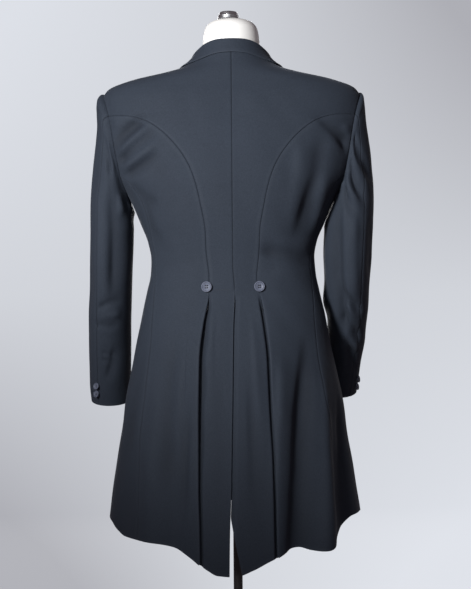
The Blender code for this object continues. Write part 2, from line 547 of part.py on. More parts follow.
def collar_piece():
    w = np.linspace(0, 1, 13)
    seam_a, seam_z, fold_z, leaf_a, leaf_z = (curve(COLLAR, c)(w) for c in range(1, 6))
    rows_o, rows_i = [], []
    r_out, gap = 0.0034, 0.0004 + 0.0030 * ease((w - 0.44) / 0.14)
    for side in (1, -1):
        sa, la = np.radians(seam_a), np.radians(leaf_a)
        ts, tf, tl = t_of(seam_z) + gap, t_of(fold_z), t_of(leaf_z)
        steps_o, steps_i = [], []
        for k in (0.0, 0.5, 1.0):
            t = ts + (tf - r_out - ts) * k
            steps_o.append(place(side, sa, t, np.full_like(t, -0.0022)))
            steps_i.append(place(side, sa, t, np.full_like(t, -0.0002)))
        for b in np.radians([135, 90, 45]):
            for steps, r in ((steps_o, r_out), (steps_i, r_out - CLOTH)):
                steps.append(place(side, sa, tf - r_out + r * np.sin(b), 0.0012 + r * np.cos(b) + 0 * tf))
        over = 0.0026 + 0.0012 * ease((w - 0.30) / 0.14) * ease((0.70 - w) / 0.14)
        for k in (0.0, 0.35, 0.7, 1.0):
            ph, t = sa + (la - sa) * k, tf - r_out + (tl - tf + r_out) * k
            steps_o.append(place(side, ph, t, over + CLOTH))
            steps_i.append(place(side, ph, t, over))
        rows_o.append(np.stack(steps_o, 1))
        rows_i.append(np.stack(steps_i, 1))
    outer = np.concatenate([rows_o[1][:0:-1], rows_o[0]])
    inner = np.concatenate([rows_i[1][:0:-1], rows_i[0]])
    return shell("collar", outer, inner, (0.026, 0.030, 0.042), flip=True)


def sleeve_rings(side, beta, thick):
    """Sleeve surface by armhole angle: out and over from the armhole, then down the arm path."""
    rows = np.array(SLEEVE[side])
    steps = (0.0, 0.04, 0.12, 0.25, 0.42, 0.62, 0.82, 1.0)

    def ring(k, cut, b):
        z, x, y, rx, ry = rows[k]
        lo, hi = rows[min(k + 1, len(rows) - 1)], rows[max(k - 1, 0)]
        tilt = np.arctan((lo[2] - hi[2]) / (lo[0] - hi[0]))
        return np.stack([COAT_X + side * (x + (rx - cut) * np.cos(b)),
                         y + (ry - cut) * np.sin(b) * np.cos(tilt),
                         z - 0.5 * (ry - cut) * np.sin(b) * np.sin(tilt)], -1)

    def head(b, cut):
        edge = armhole(side, b)
        a = skin(side, edge[:, 0], edge[:, 1])
        cb, sb = np.cos(b), np.sin(b)
        way = np.stack([0 * cb, a[:, 1], a[:, 2] - ARM_Z], -1)
        way /= np.linalg.norm(way, axis=1, keepdims=True)
        turn, high = ease(-cb)[:, None], (1 + cb) / 2
        inward = -way * (1 - turn) + np.array([side, 0, 0]) * turn
        inward /= np.linalg.norm(inward, axis=1, keepdims=True)
        start, end = a + np.array([side * 0.0006, 0, 0]) + inward * cut, ring(0, cut, b)
        reach = (0.33 + 0.77 * high)[:, None]
        t0 = np.stack([side * (0.030 + 0.02 * high), 0.020 * sb, -0.10 + 0.06 * high], -1) * reach
        t1 = np.stack([0 * cb, 0 * cb, -(0.05 + 0.26 * high)], -1)
        return [(2 * s**3 - 3 * s**2 + 1) * start + (s**3 - 2 * s**2 + s) * t0
                + (3 * s**2 - 2 * s**3) * end + (s**3 - s**2) * t1 for s in steps]

    out = []
    for cut in (0.0, thick):
        levels = head(beta, cut)
        for k, crest in enumerate(head(np.array([0.0]), 0.0)):
            x, z = side * (crest[0, 0] - COAT_X), crest[0, 2]
            push = (curve(HEAD[side])(z) - x) * (k > 0) * (k < len(steps) - 1)
            levels[k] = levels[k] + np.outer(((1 + np.cos(beta)) / 2) ** 1.5, [side * push, 0, 0])
        levels += [ring(k, cut, beta) for k in range(1, len(rows))]
        out.append(np.stack(levels))
    return out


def sleeve_pieces(side, tag):
    back, under, front = arm_angles()
    fore = 7
    whole = np.concatenate([under[:-1], front[:fore + 1]])
    top = np.concatenate([front[fore:-1] - 2 * np.pi, back])
    for name, beta in (("upper_sleeve_" + tag, top), ("under_sleeve_" + tag, whole)):
        outer, inner = sleeve_rings(side, beta, CLOTH)
        inset(outer, inner, cols=(0, len(beta) - 1))
        shell(name, outer, inner, (0.026, 0.031, 0.044), flip=side > 0)


def lathe(name, profile, centre, color, rough, metal, seg=32, lean=(0, 0)):
    """Turned piece from a table of radius and height, closed on its axis."""
    prof = np.asarray(profile, float)
    ang = np.linspace(0, 2 * np.pi, seg, endpoint=False)
    ring = np.stack([np.cos(ang), np.sin(ang)], 1)
    verts = [np.column_stack([ring * r, np.full(seg, z)]) for r, z in prof]
    verts = np.concatenate(verts + [[[0, 0, prof[0, 1]]], [[0, 0, prof[-1, 1]]]]) + np.asarray(centre)
    n = len(prof)
    faces = [[k * seg + i, k * seg + (i + 1) % seg, (k + 1) * seg + (i + 1) % seg, (k + 1) * seg + i]
             for k in range(n - 1) for i in range(seg)]
    faces += [[n * seg, (i + 1) % seg, i] for i in range(seg)]
    faces += [[n * seg + 1, (n - 1) * seg + i, (n - 1) * seg + (i + 1) % seg] for i in range(seg)]
    return solid(name, verts, faces, color, rough, metal)


def button(name, at, out, up, radius, thick, holes=4):
    """Dished round button with a raised rim and a groove; its holes are shallow dents."""
    prof = [(0.72, 0.0), (1.0, 0.40), (0.965, 0.80), (0.88, 1.0), (0.74, 0.86), (0.50, 0.62)]
    seg = 18
    ang = np.linspace(0, 2 * np.pi, seg, endpoint=False)
    out, up = out / np.linalg.norm(out), up / np.linalg.norm(up)
    right = np.cross(up, out)
    up = np.cross(out, right)
    rings = [radius * r * (np.cos(ang)[:, None] * right + np.sin(ang)[:, None] * up)
             + out * (thick * h) for r, h in prof]
    verts = np.concatenate(rings + [[out * 0.0], [out * thick * 0.50]]) + at
    n = len(prof)
    faces = [[k * seg + i, k * seg + (i + 1) % seg, (k + 1) * seg + (i + 1) % seg, (k + 1) * seg + i]
             for k in range(n - 1) for i in range(seg)]
    faces += [[n * seg, (i + 1) % seg, i] for i in range(seg)]
    faces += [[n * seg + 1, (n - 1) * seg + i, (n - 1) * seg + (i + 1) % seg] for i in range(seg)]
    return solid(name, verts, faces, (0.16, 0.18, 0.24), 0.35)


def buttons():
    up = np.array([0, 0, 1.0])
    for side, tag in ((1, "left"), (-1, "right")):
        z = np.array(1.046)
        ph, t = angle(z, np.array(0.0495)), t_of(z)
        n = normal(side, ph, t)
        button("waist_button_" + tag, place(side, ph, t, 0.0008), n, up, 0.0108, 0.0042)
        rows = np.array(SLEEVE[side])
        for k, (word, z) in enumerate((("upper", 0.868), ("lower", 0.852))):
            beta = np.radians(55 if side > 0 else 30)
            x, y, rx, ry = (np.interp(z, rows[::-1, 0], rows[::-1, c]) for c in (1, 2, 3, 4))
            n = np.array([side * np.cos(beta) / rx, np.sin(beta) / ry, 0.30 / ry * np.sin(beta)])
            n /= np.linalg.norm(n)
            at = np.array([COAT_X + side * (x + rx * np.cos(beta)), y + ry * np.sin(beta) * 0.9,
                           z - 0.4 * ry * np.sin(beta)]) + n * 0.0006
            button(f"cuff_button_{tag}_{word}", at, n, up, 0.0070, 0.0032)
    for word, z, seat in (("top", 1.105, 0.0017), ("middle", 1.020, 0.0005), ("bottom", 0.935, 0.0005)):
        ph, t = np.array(np.pi), t_of(z)
        n = normal(1, ph, t)
        button("front_button_" + word, place(1, ph, t, seat), n, up, 0.0108, 0.0042)


def torso():
    rows = np.array(FORM)
    seg = 30
    ang = np.linspace(0, 2 * np.pi, seg, endpoint=False)
    n = np.interp(rows[:, 0], [0.9, 1.38, 1.46, 1.5], [2.3, 2.3, 2.1, 2.0])
    verts = []
    for (z, a, bb, bf), k in zip(rows, n):
        b = np.where(np.cos(ang) >= 0, bb, bf)
        r = ((np.abs(np.sin(ang)) / a) ** k + (np.abs(np.cos(ang)) / b) ** k) ** (-1 / k)
        verts.append(np.column_stack([COAT_X - r * np.sin(ang), r * np.cos(ang), np.full(seg, z)]))
    verts = np.concatenate(verts + [[[COAT_X, 0, rows[0, 0]]], [[COAT_X, 0, rows[-1, 0] + 0.001]]])
    m = len(rows)
    faces = [[k * seg + i, k * seg + (i + 1) % seg, (k + 1) * seg + (i + 1) % seg, (k + 1) * seg + i]
             for k in range(m - 1) for i in range(seg)]
    faces += [[m * seg, (i + 1) % seg, i] for i in range(seg)]
    faces += [[m * seg + 1, (m - 1) * seg + i, (m - 1) * seg + (i + 1) % seg] for i in range(seg)]
    return solid("dress_form", verts, faces, (0.72, 0.70, 0.66), 0.8)


def stand():
    top = FORM[-1][0] + 0.0013
    lathe("neck_cap", [(0.0200, top), (0.0215, top + 0.0008), (0.0215, top + 0.0022), (0.0198, top + 0.0030),
                       (0.0198, top + 0.0042), (0.0206, top + 0.0055), (0.0206, top + 0.0073),
                       (0.0186, top + 0.0086), (0.0176, top + 0.0122), (0.0160, top + 0.0140)],
          (COAT_X + 0.005, 0, 0), (0.42, 0.43, 0.45), 0.28, 1.0, 32)
    lathe("pole", [(POLE_R, BASE_T + 0.0003), (POLE_R, FORM[0][0] - 0.0003)], (0, 0, 0),
          (0.018, 0.017, 0.018), 0.35, 0.6, 24)
    lathe("base", [(BASE_R - 0.003, 0.0), (BASE_R, 0.003), (BASE_R, 0.006), (BASE_R - 0.004, 0.009),
                   (0.120, BASE_T - 0.0005), (0.030, BASE_T)], (0, 0, 0), (0.018, 0.017, 0.018), 0.35, 0.6, 48)


def main():
    for obj in list(bpy.data.objects):
        bpy.data.objects.remove(obj, do_unlink=True)
    for side, tag in ((1, "left"), (-1, "right")):
        back_piece(side, "back_" + tag)
        side_piece(side, "side_" + tag)
        front_piece(side, "front_" + tag)
        lapel_piece(side, "lapel_" + tag)
        sleeve_pieces(side, tag)
    collar_piece()
    buttons()
    torso()
    stand()


main()
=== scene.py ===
"""Looks of a frock coat on its dress form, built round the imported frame. Metres, +Z up; the
front of the coat faces -Y and the wearer's left is +X. Every cut piece is a patch of one body
surface (level superellipse sections carried up a profile), or of a sleeve tube; sewing, creases
and pressing are added as heights along the surface's own normal."""

import bpy
import numpy as np
from mathutils import Matrix


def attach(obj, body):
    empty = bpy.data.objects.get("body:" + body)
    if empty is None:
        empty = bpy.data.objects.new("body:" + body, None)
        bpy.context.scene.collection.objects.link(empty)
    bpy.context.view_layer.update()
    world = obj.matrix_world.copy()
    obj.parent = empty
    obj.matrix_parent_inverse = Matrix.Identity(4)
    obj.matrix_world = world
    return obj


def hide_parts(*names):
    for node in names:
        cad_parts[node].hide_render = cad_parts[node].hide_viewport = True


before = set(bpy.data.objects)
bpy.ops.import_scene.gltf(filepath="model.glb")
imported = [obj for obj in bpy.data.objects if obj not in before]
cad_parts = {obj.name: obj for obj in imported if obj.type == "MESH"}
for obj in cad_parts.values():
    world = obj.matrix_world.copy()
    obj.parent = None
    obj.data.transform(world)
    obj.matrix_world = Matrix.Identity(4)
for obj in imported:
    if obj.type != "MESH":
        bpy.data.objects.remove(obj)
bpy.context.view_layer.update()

# Sizes
CLOTH = 0.0020          # wall of the cloth
SEAM = 0.0003           # space between neighbouring pieces
COAT_X = 0.005          # centre line of coat and form
WAIST = 1.036           # top of vent and pleats
PLEAT_TOP = 1.000       # height under which the pleat layers run beneath one another
PLEAT_IN = 0.026        # how far a pleat returns under its fold
FOLD_R = 0.0026         # outer radius of a pleat fold
PLEAT_DROP = 0.0068     # how deep the back skirt lies under the pleat
VENT_DROP = 0.0037      # how deep the underlap lies at the vent
FRONT_LAP = 0.020       # each front passes the centre front by this much
FRONT_DROP = 0.0037     # how deep the right front lies under the left one
BREAK = 1.130           # foot of the lapel roll line
NECK_SIDE, NECK_BACK = 1.480, 1.500                 # neck seam at the shoulder, at the centre back
ARM_Z, ARM_HALF, ARM_DEEP = 1.3175, 0.1055, 0.058   # armhole centre, half height, half depth
BACK_SEAM_Z, SIDE_SEAM_Z = 1.3745, 1.259            # where the two seams reach the armhole
POLE_R = 0.0088         # radius of the pole
BASE_R, BASE_T = 0.190, 0.013           # radius and height of the base plate
SEAM_DEEP, SEAM_WIDE = 0.0007, 0.0010   # how far a seam draws the cloth in, and its half width
PRESS_AT, PRESS_WIDE = 0.005, 0.003     # the pressed ridge beside a seam, and its half width
EDGE_WEAR = 0.004       # half width of the worn line along a free edge
HOLD_OFF = 0.0025       # how far a sleeve keeps from the body under the arm
CHART, ARM_CHART = 0.2, 0.055           # metres a radian on the crease charts of body and sleeve
GRAIN, YARN = 0.0011, 0.0007            # spacing of twill ribs and of yarns
FRONT_BUTTONS = {"top": 1.105, "middle": 1.020, "bottom": 0.935}


def mm(rows, *plain):
    """Table in metres of rows in millimetres; the columns named last are angles or shares."""
    if isinstance(rows, dict):
        return {side: mm(part, *plain) for side, part in rows.items()}
    return [tuple(v if c in plain else v / 1000 for c, v in enumerate(row)) for row in rows]


# Tables: lengths in millimetres, angles in degrees; the wearer's left is 1, the right -1

# Level sections: height, half width, depth of the back, depth of the front, roundness
SECTION = np.array(mm([(480, 262, 244, 196, 2.1), (603, 243.8, 213, 176, 2.1),
                       (650, 237, 200, 168, 2.1), (712, 228, 183, 158, 2.12),
                       (775, 218.4, 166, 149, 2.14), (822, 212.6, 154, 142, 2.16),
                       (900, 196.5, 134, 130, 2.2), (993, 177.5, 108, 115, 2.3),
                       (1040, 166.7, 97.5, 110, 2.35), (1071, 160, 96.2, 107, 2.4),
                       (1102, 158, 98, 105, 2.4), (1134, 163.8, 103, 109, 2.4),
                       (1165, 176.5, 108.5, 115, 2.4), (1212, 197, 115.5, 121, 2.4),
                       (1260, 226, 119, 125, 2.4), (1300, 241, 119, 118, 2.4),
                       (1340, 250, 114, 107, 2.4), (1380, 254, 104, 94, 2.4),
                       (1410, 252, 95, 83, 2.4), (1423, 246, 90, 78, 2.4),
                       (1430, 240, 87, 75, 2.38), (1445.6, 200, 82, 70, 2.34),
                       (1461, 131.6, 77.5, 65, 2.25), (1468, 106, 75, 62, 2.2),
                       (1477, 88, 71.5, 60, 2.15), (1492, 73, 67, 58, 2.1),
                       (1508, 64, 64, 56, 2.1), (1535, 60, 61.2, 55, 2.1)], 4))

# Seam lines as height, distance from the centre line
PLEAT = mm({1: [(480, 62.4), (602, 63.2), (670, 65.2), (740, 65), (830, 64), (914, 62.5),
                (975, 55.6), (1033, 45.4)],
            -1: [(480, 76.3), (602, 75.5), (670, 74.8), (740, 73.5), (830, 70), (914, 67),
                 (975, 60.6), (1033, 50.8)]})
BACK_SEAM = mm([(1062, 45), (1114, 50), (1152, 51.5), (1195, 58.5), (1238, 68), (1265, 77),
                (1290, 90), (1328, 119.5), (1345, 138.5), (1358, 157.5), (1366.5, 177),
                (1371.5, 199), (1374.5, 235)])
# Where the rows of the back start on the centre line, for each height of the curved seam
CENTRE_ROWS = mm([(1036, 1036), (1200, 1196), (1290, 1280), (1328, 1311), (1356, 1332),
                  (1367, 1343), (1374.5, 1358.5)])
SIDE_SEAM = mm([(480, 182), (594, 178), (725, 178), (860, 166), (943, 157), (1020, 153),
                (1100, 149), (1143, 157), (1178, 164), (1213, 176), (1240, 193), (1259, 207)])
VENT = mm([(480, 11), (530, 10.3), (610, 8.7), (660, 6.6), (760, 4.5), (840, 2.6), (910, 1.3),
           (970, 0), (1036, -3), (1080, 0)])
UNDERLAP = mm([(480, -19), (530, -12.5), (575, -3), (620, 5.6), (680, 15), (800, 30), (1036, 35)])
# How wide the deep part beside each pleat is, by height
RECESS = mm({1: [(480, 4), (600, 5), (700, 7), (770, 12), (820, 10), (868, 16), (910, 11),
                 (945, 14), (985, 10), (1036, 6)],
             -1: [(480, 4), (700, 4), (900, 5), (1036, 5)]})

# Hem height by angle round from the centre back (degrees)
HEM = mm({1: [(-20, 530), (0, 529), (8, 531.2), (12, 538.9), (18, 553.5), (24, 566), (30, 575.8),
              (38, 581.2), (48, 582.9), (60, 583.3), (68, 590.8), (76, 602), (90, 606), (140, 606),
              (200, 604)],
          -1: [(-20, 530), (0, 529.4), (8, 539.5), (16, 553.9), (24, 565.4), (32, 574.2),
               (36, 568.6), (42, 564.3), (48, 572.5), (54, 585.3), (60, 601.8), (68, 615),
               (76, 616.5), (90, 611), (140, 607), (200, 604)]}, 0)

# Large skirt folds: angle at the hem, angle at the top, half width, height, top of the fold
FOLDS = mm({1: [(29, 37, 6, -7.5, 930), (42, 44, 7, 6, 860), (63, 60, 9, -5, 840),
                (112, 106, 9, 7, 920), (131, 122, 8, -6, 880), (150, 142, 9, 5, 820)],
            -1: [(31, 52, 6, -11, 980), (43, 63, 6.5, 11, 970), (56, 72, 7, -8, 920),
                 (70, 80, 8, 4, 800), (108, 103, 9, -6, 900), (126, 118, 9, 7, 860),
                 (148, 140, 9, -4.5, 800)]}, 0, 1, 2)

# How far the pleat folds stand proud of the solids' form, by height
PROUD = mm({1: [(480, 0.5), (620, 1), (740, 3), (850, 6.2), (940, 5.8), (1000, 2), (1036, 0)],
            -1: [(480, 0.5), (620, 1), (760, 1.6), (880, 2.6), (960, 2.2), (1010, 1), (1036, 0)]})

# Body creases: angle and height of both ends, half width, height (a trough below 0), bow sideways
CREASES = mm({1: [(79, 1300, 61, 1372, 11, -10.5, 1), (74, 1296, 58, 1356, 7, 5, 2),
                  (77, 1278, 54, 1346, 8, -8.5, 2), (74, 1268, 52, 1322, 7, 4.8, 3),
                  (75, 1254, 50, 1306, 8.5, -5.8, 4), (72, 1240, 58, 1196, 16, -3.6, 4),
                  (84, 1330, 72, 1372, 10, 4, 1), (68, 1235, 66, 1110, 17, -2.4, 6),
                  (52, 1290, 47, 1180, 26, -1.8, 4), (47, 955, 34, 655, 17, -5.2, 4),
                  (39, 930, 31, 600, 13, 3.4, 0), (30, 845, 26, 600, 10, -3, 2),
                  (54, 900, 47, 620, 20, 3.6, -3), (66, 960, 70, 700, 18, -3, 3),
                  (34, 1095, 72, 1078, 13, -1.6, 4), (20, 1000, 15, 800, 11, 1.6, 2),
                  (9, 900, 8, 620, 14, -1.4, -2), (101, 1292, 119, 1350, 8.5, -6, -1),
                  (105, 1275, 122, 1322, 9, 4, -2), (103, 1262, 126, 1296, 9, -4.2, -3),
                  (108, 1225, 112, 1115, 16, -2.6, -4), (171, 1112, 128, 1088, 10, -2.4, 4),
                  (169, 1098, 135, 1056, 11, 1.8, 3), (168, 1028, 138, 1052, 10, -1.8, -3),
                  (112, 900, 117, 640, 15, -4, 3), (136, 930, 142, 650, 16, -3.6, -4),
                  (160, 900, 163, 640, 16, 2.8, 2)],
              -1: [(60, 1368, 78, 1296, 11, -8.8, -1), (71, 1352, 82, 1312, 8.5, 4.2, 0),
                   (66, 1336, 65, 1190, 15, 4.4, -3), (60, 1338, 57, 1130, 18, -7.4, 3),
                   (50, 1330, 49, 1160, 17, 3, 2), (62, 1268, 71, 1135, 15, 3, 3),
                   (27, 1112, 80, 1086, 15, -6.2, 4), (36, 1130, 78, 1112, 13, 2.4, 2),
                   (38, 1070, 76, 1052, 15, 2, 2), (58, 950, 26, 440, 19, -12.5, -22),
                   (38, 930, 16, 480, 18, 5, -8), (67, 920, 38, 460, 16, 7.5, -4),
                   (76, 860, 55, 480, 15, -6, -2), (78, 880, 66, 640, 16, 3, 3),
                   (12, 880, 10, 600, 13, -2.2, 1), (18, 1000, 17, 760, 11, 1.6, -1),
                   (102, 1300, 117, 1346, 9, -6.2, 1), (104, 1280, 123, 1318, 9, 4.2, 2),
                   (103, 1258, 124, 1288, 11, -4.6, 3), (106, 1230, 114, 1120, 17, -2.8, 4),
                   (158, 1100, 126, 1078, 11, -2.2, -4), (150, 1068, 124, 1040, 12, 1.6, -2),
                   (114, 910, 120, 640, 16, -4.2, -3), (133, 880, 138, 650, 16, 3.4, 3),
                   (152, 920, 158, 650, 16, -3.6, 4)]}, 0, 2)

# Sleeve creases: angle round the sleeve and height of both ends, half width, height, bow
ARM_CREASES = mm({1: [(92, 1262, 104, 1000, 17, -7.8, 4), (62, 1270, 66, 1000, 15, 3.4, 2),
                      (118, 1230, 126, 1180, 10, 4, 0), (148, 1209, 216, 1208, 25, 11, 0),
                      (60, 1340, 92, 1250, 9, -4, 3), (78, 1330, 104, 1262, 8, 3.4, 2),
                      (48, 1310, 30, 1215, 12, -2.6, 3), (20, 1385, 62, 1372, 6, -1.8, 2),
                      (58, 1004, 132, 1022, 7, -4.8, 3), (66, 986, 128, 994, 6.5, 3, 2),
                      (46, 976, 118, 972, 7, -3.6, -3), (71, 919, 108, 911, 4.5, -3, 1),
                      (68, 907, 96, 898, 4.2, -2, 1), (112, 935, 80, 850, 11, -3.4, 2),
                      (18, 1120, 30, 990, 12, -2.4, 3), (244, 1030, 318, 1044, 7, -5, -3),
                      (240, 1006, 312, 1012, 6.5, -4.2, 2), (250, 982, 300, 972, 6, -3.2, 1),
                      (262, 1018, 306, 1028, 6, 2.8, 0), (230, 1240, 268, 1195, 10, -5.6, 3),
                      (236, 1210, 300, 1168, 9, -3.8, 4), (222, 1170, 240, 1040, 13, -4.4, 4),
                      (284, 1190, 300, 1060, 14, 3, 2), (300, 1380, 330, 1290, 11, -2.4, 3)],
                  -1: [(118, 1300, 96, 1280, 8, 7, 0), (132, 1250, 112, 1225, 10, 6, 2),
                       (148, 1203, 216, 1202, 31, 12, 0), (150, 1030, 214, 1000, 22, 6, 0),
                       (84, 1345, 26, 1250, 10, -7.5, 6), (96, 1318, 40, 1228, 8.5, 5, 4),
                       (112, 1292, 52, 1206, 8.5, -8, 4), (118, 1268, 66, 1196, 7.5, 4.6, 3),
                       (126, 1246, 74, 1172, 9, -6.4, 3), (124, 1220, 116, 1000, 16, -10, 2),
                       (112, 1060, 104, 950, 13, -9, -2), (84, 1190, 74, 1010, 13, 5, 2),
                       (34, 1175, 26, 1060, 11, -3.4, 2), (20, 1382, 58, 1368, 6, -1.8, 2),
                       (112, 1042, 44, 992, 8.5, -6.2, 4), (108, 1014, 46, 966, 7.5, 4.2, 2),
                       (116, 990, 44, 944, 8.5, -6.2, 3), (104, 962, 50, 918, 7.5, 4.2, 2),
                       (112, 945, 48, 896, 8, -5.5, 1), (84, 930, 40, 870, 8, -3.2, 1),
                       (106, 940, 84, 860, 10, 3, 1), (242, 1045, 316, 1052, 7, -5.2, 3),
                       (246, 1018, 310, 1022, 6.5, -4.4, -2), (240, 990, 302, 982, 6.5, -3.4, 2),
                       (258, 1032, 304, 1038, 6, 2.8, 0), (228, 1246, 262, 1200, 9.5, -5.6, 3),
                       (238, 1205, 296, 1160, 10, -4.2, 3), (224, 1160, 238, 1050, 12, -3.8, 3),
                       (290, 1180, 304, 1070, 14, 3, 2),
                       (304, 1376, 328, 1296, 11, -2.4, 3)]}, 0, 2)

# Roll line and front neckline: height, angle round from the centre back
ROLL = mm([(1130, 190.3), (1200, 174.3), (1270, 163.9), (1340, 153), (1400, 140.8), (1440, 130.6),
           (1460, 121), (1474, 105), (1480, 90)], 1)
# Lapel's outer edge by share of its height: distance from the centre line, height
LAPEL = mm([(0, -11, 1137), (0.2, 50, 1186), (0.4, 88, 1238), (0.6, 114, 1290), (0.8, 130, 1340),
            (1, 138, 1380)], 0)
# Height in metres of each lapel's foot
LAPEL_FOOT = {1: 1.134, -1: 1.192}
# Collar by share of half its length: neck seam angle and height, fold height, leaf edge angle
# and height
COLLAR = mm([(0, 0, 1500, 1519, 0, 1492.5), (0.12, 22, 1499, 1518.5, 22, 1490.5),
             (0.28, 50, 1493, 1512, 50, 1480), (0.38, 68, 1487, 1503, 67, 1474),
             (0.5, 90, 1480, 1493, 88, 1471.5), (0.62, 107, 1473, 1485, 106, 1463),
             (0.74, 121, 1460, 1471.5, 115, 1451), (0.87, 131.5, 1437, 1448, 120, 1434),
             (1, 138.5, 1408, 1418.5, 124, 1416)], 0, 1, 4)

# Sleeve path: height, centre across, centre in depth, half width, half depth
SLEEVE = mm({1: [(1160, 234.5, 0, 42.5, 60), (1110, 236.5, -3, 42, 60),
                 (1050, 239.5, -12, 41.5, 59), (1000, 242.5, -27, 42.3, 57.5),
                 (950, 245, -48, 42, 55), (900, 247, -70, 41.4, 53), (850, 249.5, -92, 41, 51),
                 (821, 249, -105, 40, 50)],
             -1: [(1160, 226.5, 0, 47.5, 60), (1110, 224, -6, 47.5, 60),
                  (1050, 223.5, -20, 44, 59), (1000, 226, -42, 40.5, 57.5),
                  (950, 226.2, -76, 38, 55.5), (900, 220.5, -109, 38, 53.5),
                  (850, 214.5, -137, 39.3, 51.5), (832, 212, -147, 39.8, 50.5)]})
# Outline of the sleeve head: height, distance from the centre line
HEAD = mm({1: [(1160, 277), (1210, 276.5), (1243, 274.5), (1274, 271), (1305, 267.2),
               (1336, 263.2), (1370, 260), (1400, 261), (1414.5, 259.8), (1419.5, 255),
               (1423, 246.6)],
           -1: [(1160, 274), (1210, 274.8), (1243, 274.2), (1274, 271.5), (1305, 269), (1336, 265),
                (1370, 260), (1398, 257), (1414.5, 254.5), (1419.5, 252), (1423, 246.6)]})

# Dress form: height, half width, back depth, front depth
FORM = mm([(897, 120, 80, 84), (899, 145, 98, 102), (910, 157, 106, 110), (950, 160, 106, 108),
           (1000, 153, 94, 100), (1050, 142, 83, 94), (1100, 137, 84, 92), (1150, 146, 90, 98),
           (1200, 160, 97, 106), (1250, 172, 102, 110), (1300, 180, 101, 104), (1350, 182, 93, 90),
           (1392, 178, 80, 76), (1419, 167, 71, 66), (1439, 150, 65, 60), (1453.5, 129, 62, 56),
           (1464, 104, 60, 54), (1473.5, 83, 58, 52), (1483, 68, 56, 51), (1500, 56.5, 53, 50),
           (1530, 54.5, 52, 51), (1548, 51, 50, 49), (1557, 45, 44, 43), (1563.2, 34.5, 34, 33),
           (1566, 24, 23.5, 23)])

# Cells between the marked heights of the seams: skirt, waist, body; then armhole and shoulder
SKIRT, WAISTBAND, BODY, ARM, SHOULDER, FRONT_ARM = 9, 2, 11, 3, 5, 14
SEAM_ROWS = SKIRT + WAISTBAND + BODY
SIDES = ((1, "left"), (-1, "right"))


def curve(rows, column=1):
    """Smooth line through a table's rows that never swings past them (monotone cubic)."""
    rows = np.asarray(rows, float)
    xs, ys = rows[:, 0], rows[:, column]
    h = np.diff(xs)
    d = np.diff(ys) / h
    m = np.empty_like(ys)
    m[0], m[-1] = d[0], d[-1]
    same = d[1:] * d[:-1] > 0
    w1, w2 = 2 * h[1:] + h[:-1], h[1:] + 2 * h[:-1]
    safe_a, safe_b = np.where(same, d[:-1], 1.0), np.where(same, d[1:], 1.0)
    m[1:-1] = np.where(same, (w1 + w2) / (w1 / safe_a + w2 / safe_b), 0.0)

    def at(x):
        x = np.clip(np.asarray(x, float), xs[0], xs[-1])
        i = np.clip(np.searchsorted(xs, x) - 1, 0, len(h) - 1)
        s = (x - xs[i]) / h[i]
        return (ys[i] * (1 + 2 * s) * (1 - s) ** 2 + m[i] * h[i] * s * (1 - s) ** 2
                + ys[i + 1] * s * s * (3 - 2 * s) + m[i + 1] * h[i] * s * s * (s - 1))
    return at


def ease(x):
    """Smooth step from 0 to 1."""
    x = np.clip(x, 0.0, 1.0)
    return x * x * (3 - 2 * x)


def bell(x):
    """Soft hump of height 1 and half width 1: e to the minus x squared."""
    return np.exp(-np.square(x))


def unit(v):
    """Directions of a set of vectors."""
    return v / np.maximum(np.linalg.norm(v, axis=-1, keepdims=True), 1e-12)


def spline(rows, at):
    """Cubic spline through rows set one apart, read at fractional rows."""
    n = len(rows)
    a = np.diag(np.full(n, 4.0)) + np.diag(np.ones(n - 1), 1) + np.diag(np.ones(n - 1), -1)
    a[0], a[-1] = np.eye(n)[0], np.eye(n)[-1]
    b = np.zeros_like(rows)
    b[1:-1] = 6 * (rows[2:] - 2 * rows[1:-1] + rows[:-2])
    m = np.linalg.solve(a, b.reshape(n, -1)).reshape(rows.shape)
    i = np.clip(np.floor(at).astype(int), 0, n - 2)
    s = (at - i).reshape((-1,) + (1,) * (rows.ndim - 1))
    return ((1 - s) * rows[i] + s * rows[i + 1]
            + ((1 - s) ** 3 - (1 - s)) * m[i] / 6 + (s ** 3 - s) * m[i + 1] / 6)


def steps(cells, per):
    """Marks along an edge of so many cells: even ones, and closer ones at both ends."""
    near = np.array([0.0, 0.018, 0.038, 0.062, 0.095])
    mid = np.linspace(0, cells, cells * per + 1)
    mid = mid[(mid > 0.115) & (mid < cells - 0.115)]
    return np.concatenate([near, mid, cells - near[::-1]])


HALF_WIDE, DEEP_BACK, DEEP_FRONT, ROUND = (curve(SECTION, c) for c in (1, 2, 3, 4))
_Z = np.linspace(SECTION[0, 0], SECTION[-1, 0], 3000)
_T = np.concatenate([[0], np.cumsum(np.hypot(np.diff(_Z), np.diff(HALF_WIDE(_Z))))])


def t_of(z):
    """Length run up the side profile to a height."""
    return np.interp(z, _Z, _T)


def z_of(t):
    """Height that a length up the side profile reaches."""
    return np.interp(t, _T, _Z)


def folds(side, ph, z):
    """Large skirt folds: bell ridges and troughs that grow from their top down to the hem."""
    deg, out = np.degrees(ph), 0.0
    for hem_at, top_at, wide, high, top in FOLDS[side]:
        k = np.clip((top - z) / (top - 0.575), 0, 1.15)
        mid = top_at + (hem_at - top_at) * k
        out = out + high * ease(k) * bell((deg - mid) / wide)
    return out


def skin(side, ph, t):
    """Body surface: radius of a superellipse section at angle ph, height z at arc length t."""
    z = z_of(t)
    deep = np.where(np.cos(ph) >= 0, DEEP_BACK(z), DEEP_FRONT(z))
    n = ROUND(z)
    r = ((np.abs(np.sin(ph)) / HALF_WIDE(z)) ** n + (np.abs(np.cos(ph)) / deep) ** n) ** (-1 / n)
    r = r + folds(side, ph, z)
    return np.stack([COAT_X + side * r * np.sin(ph), r * np.cos(ph), z * np.ones_like(r)], -1)


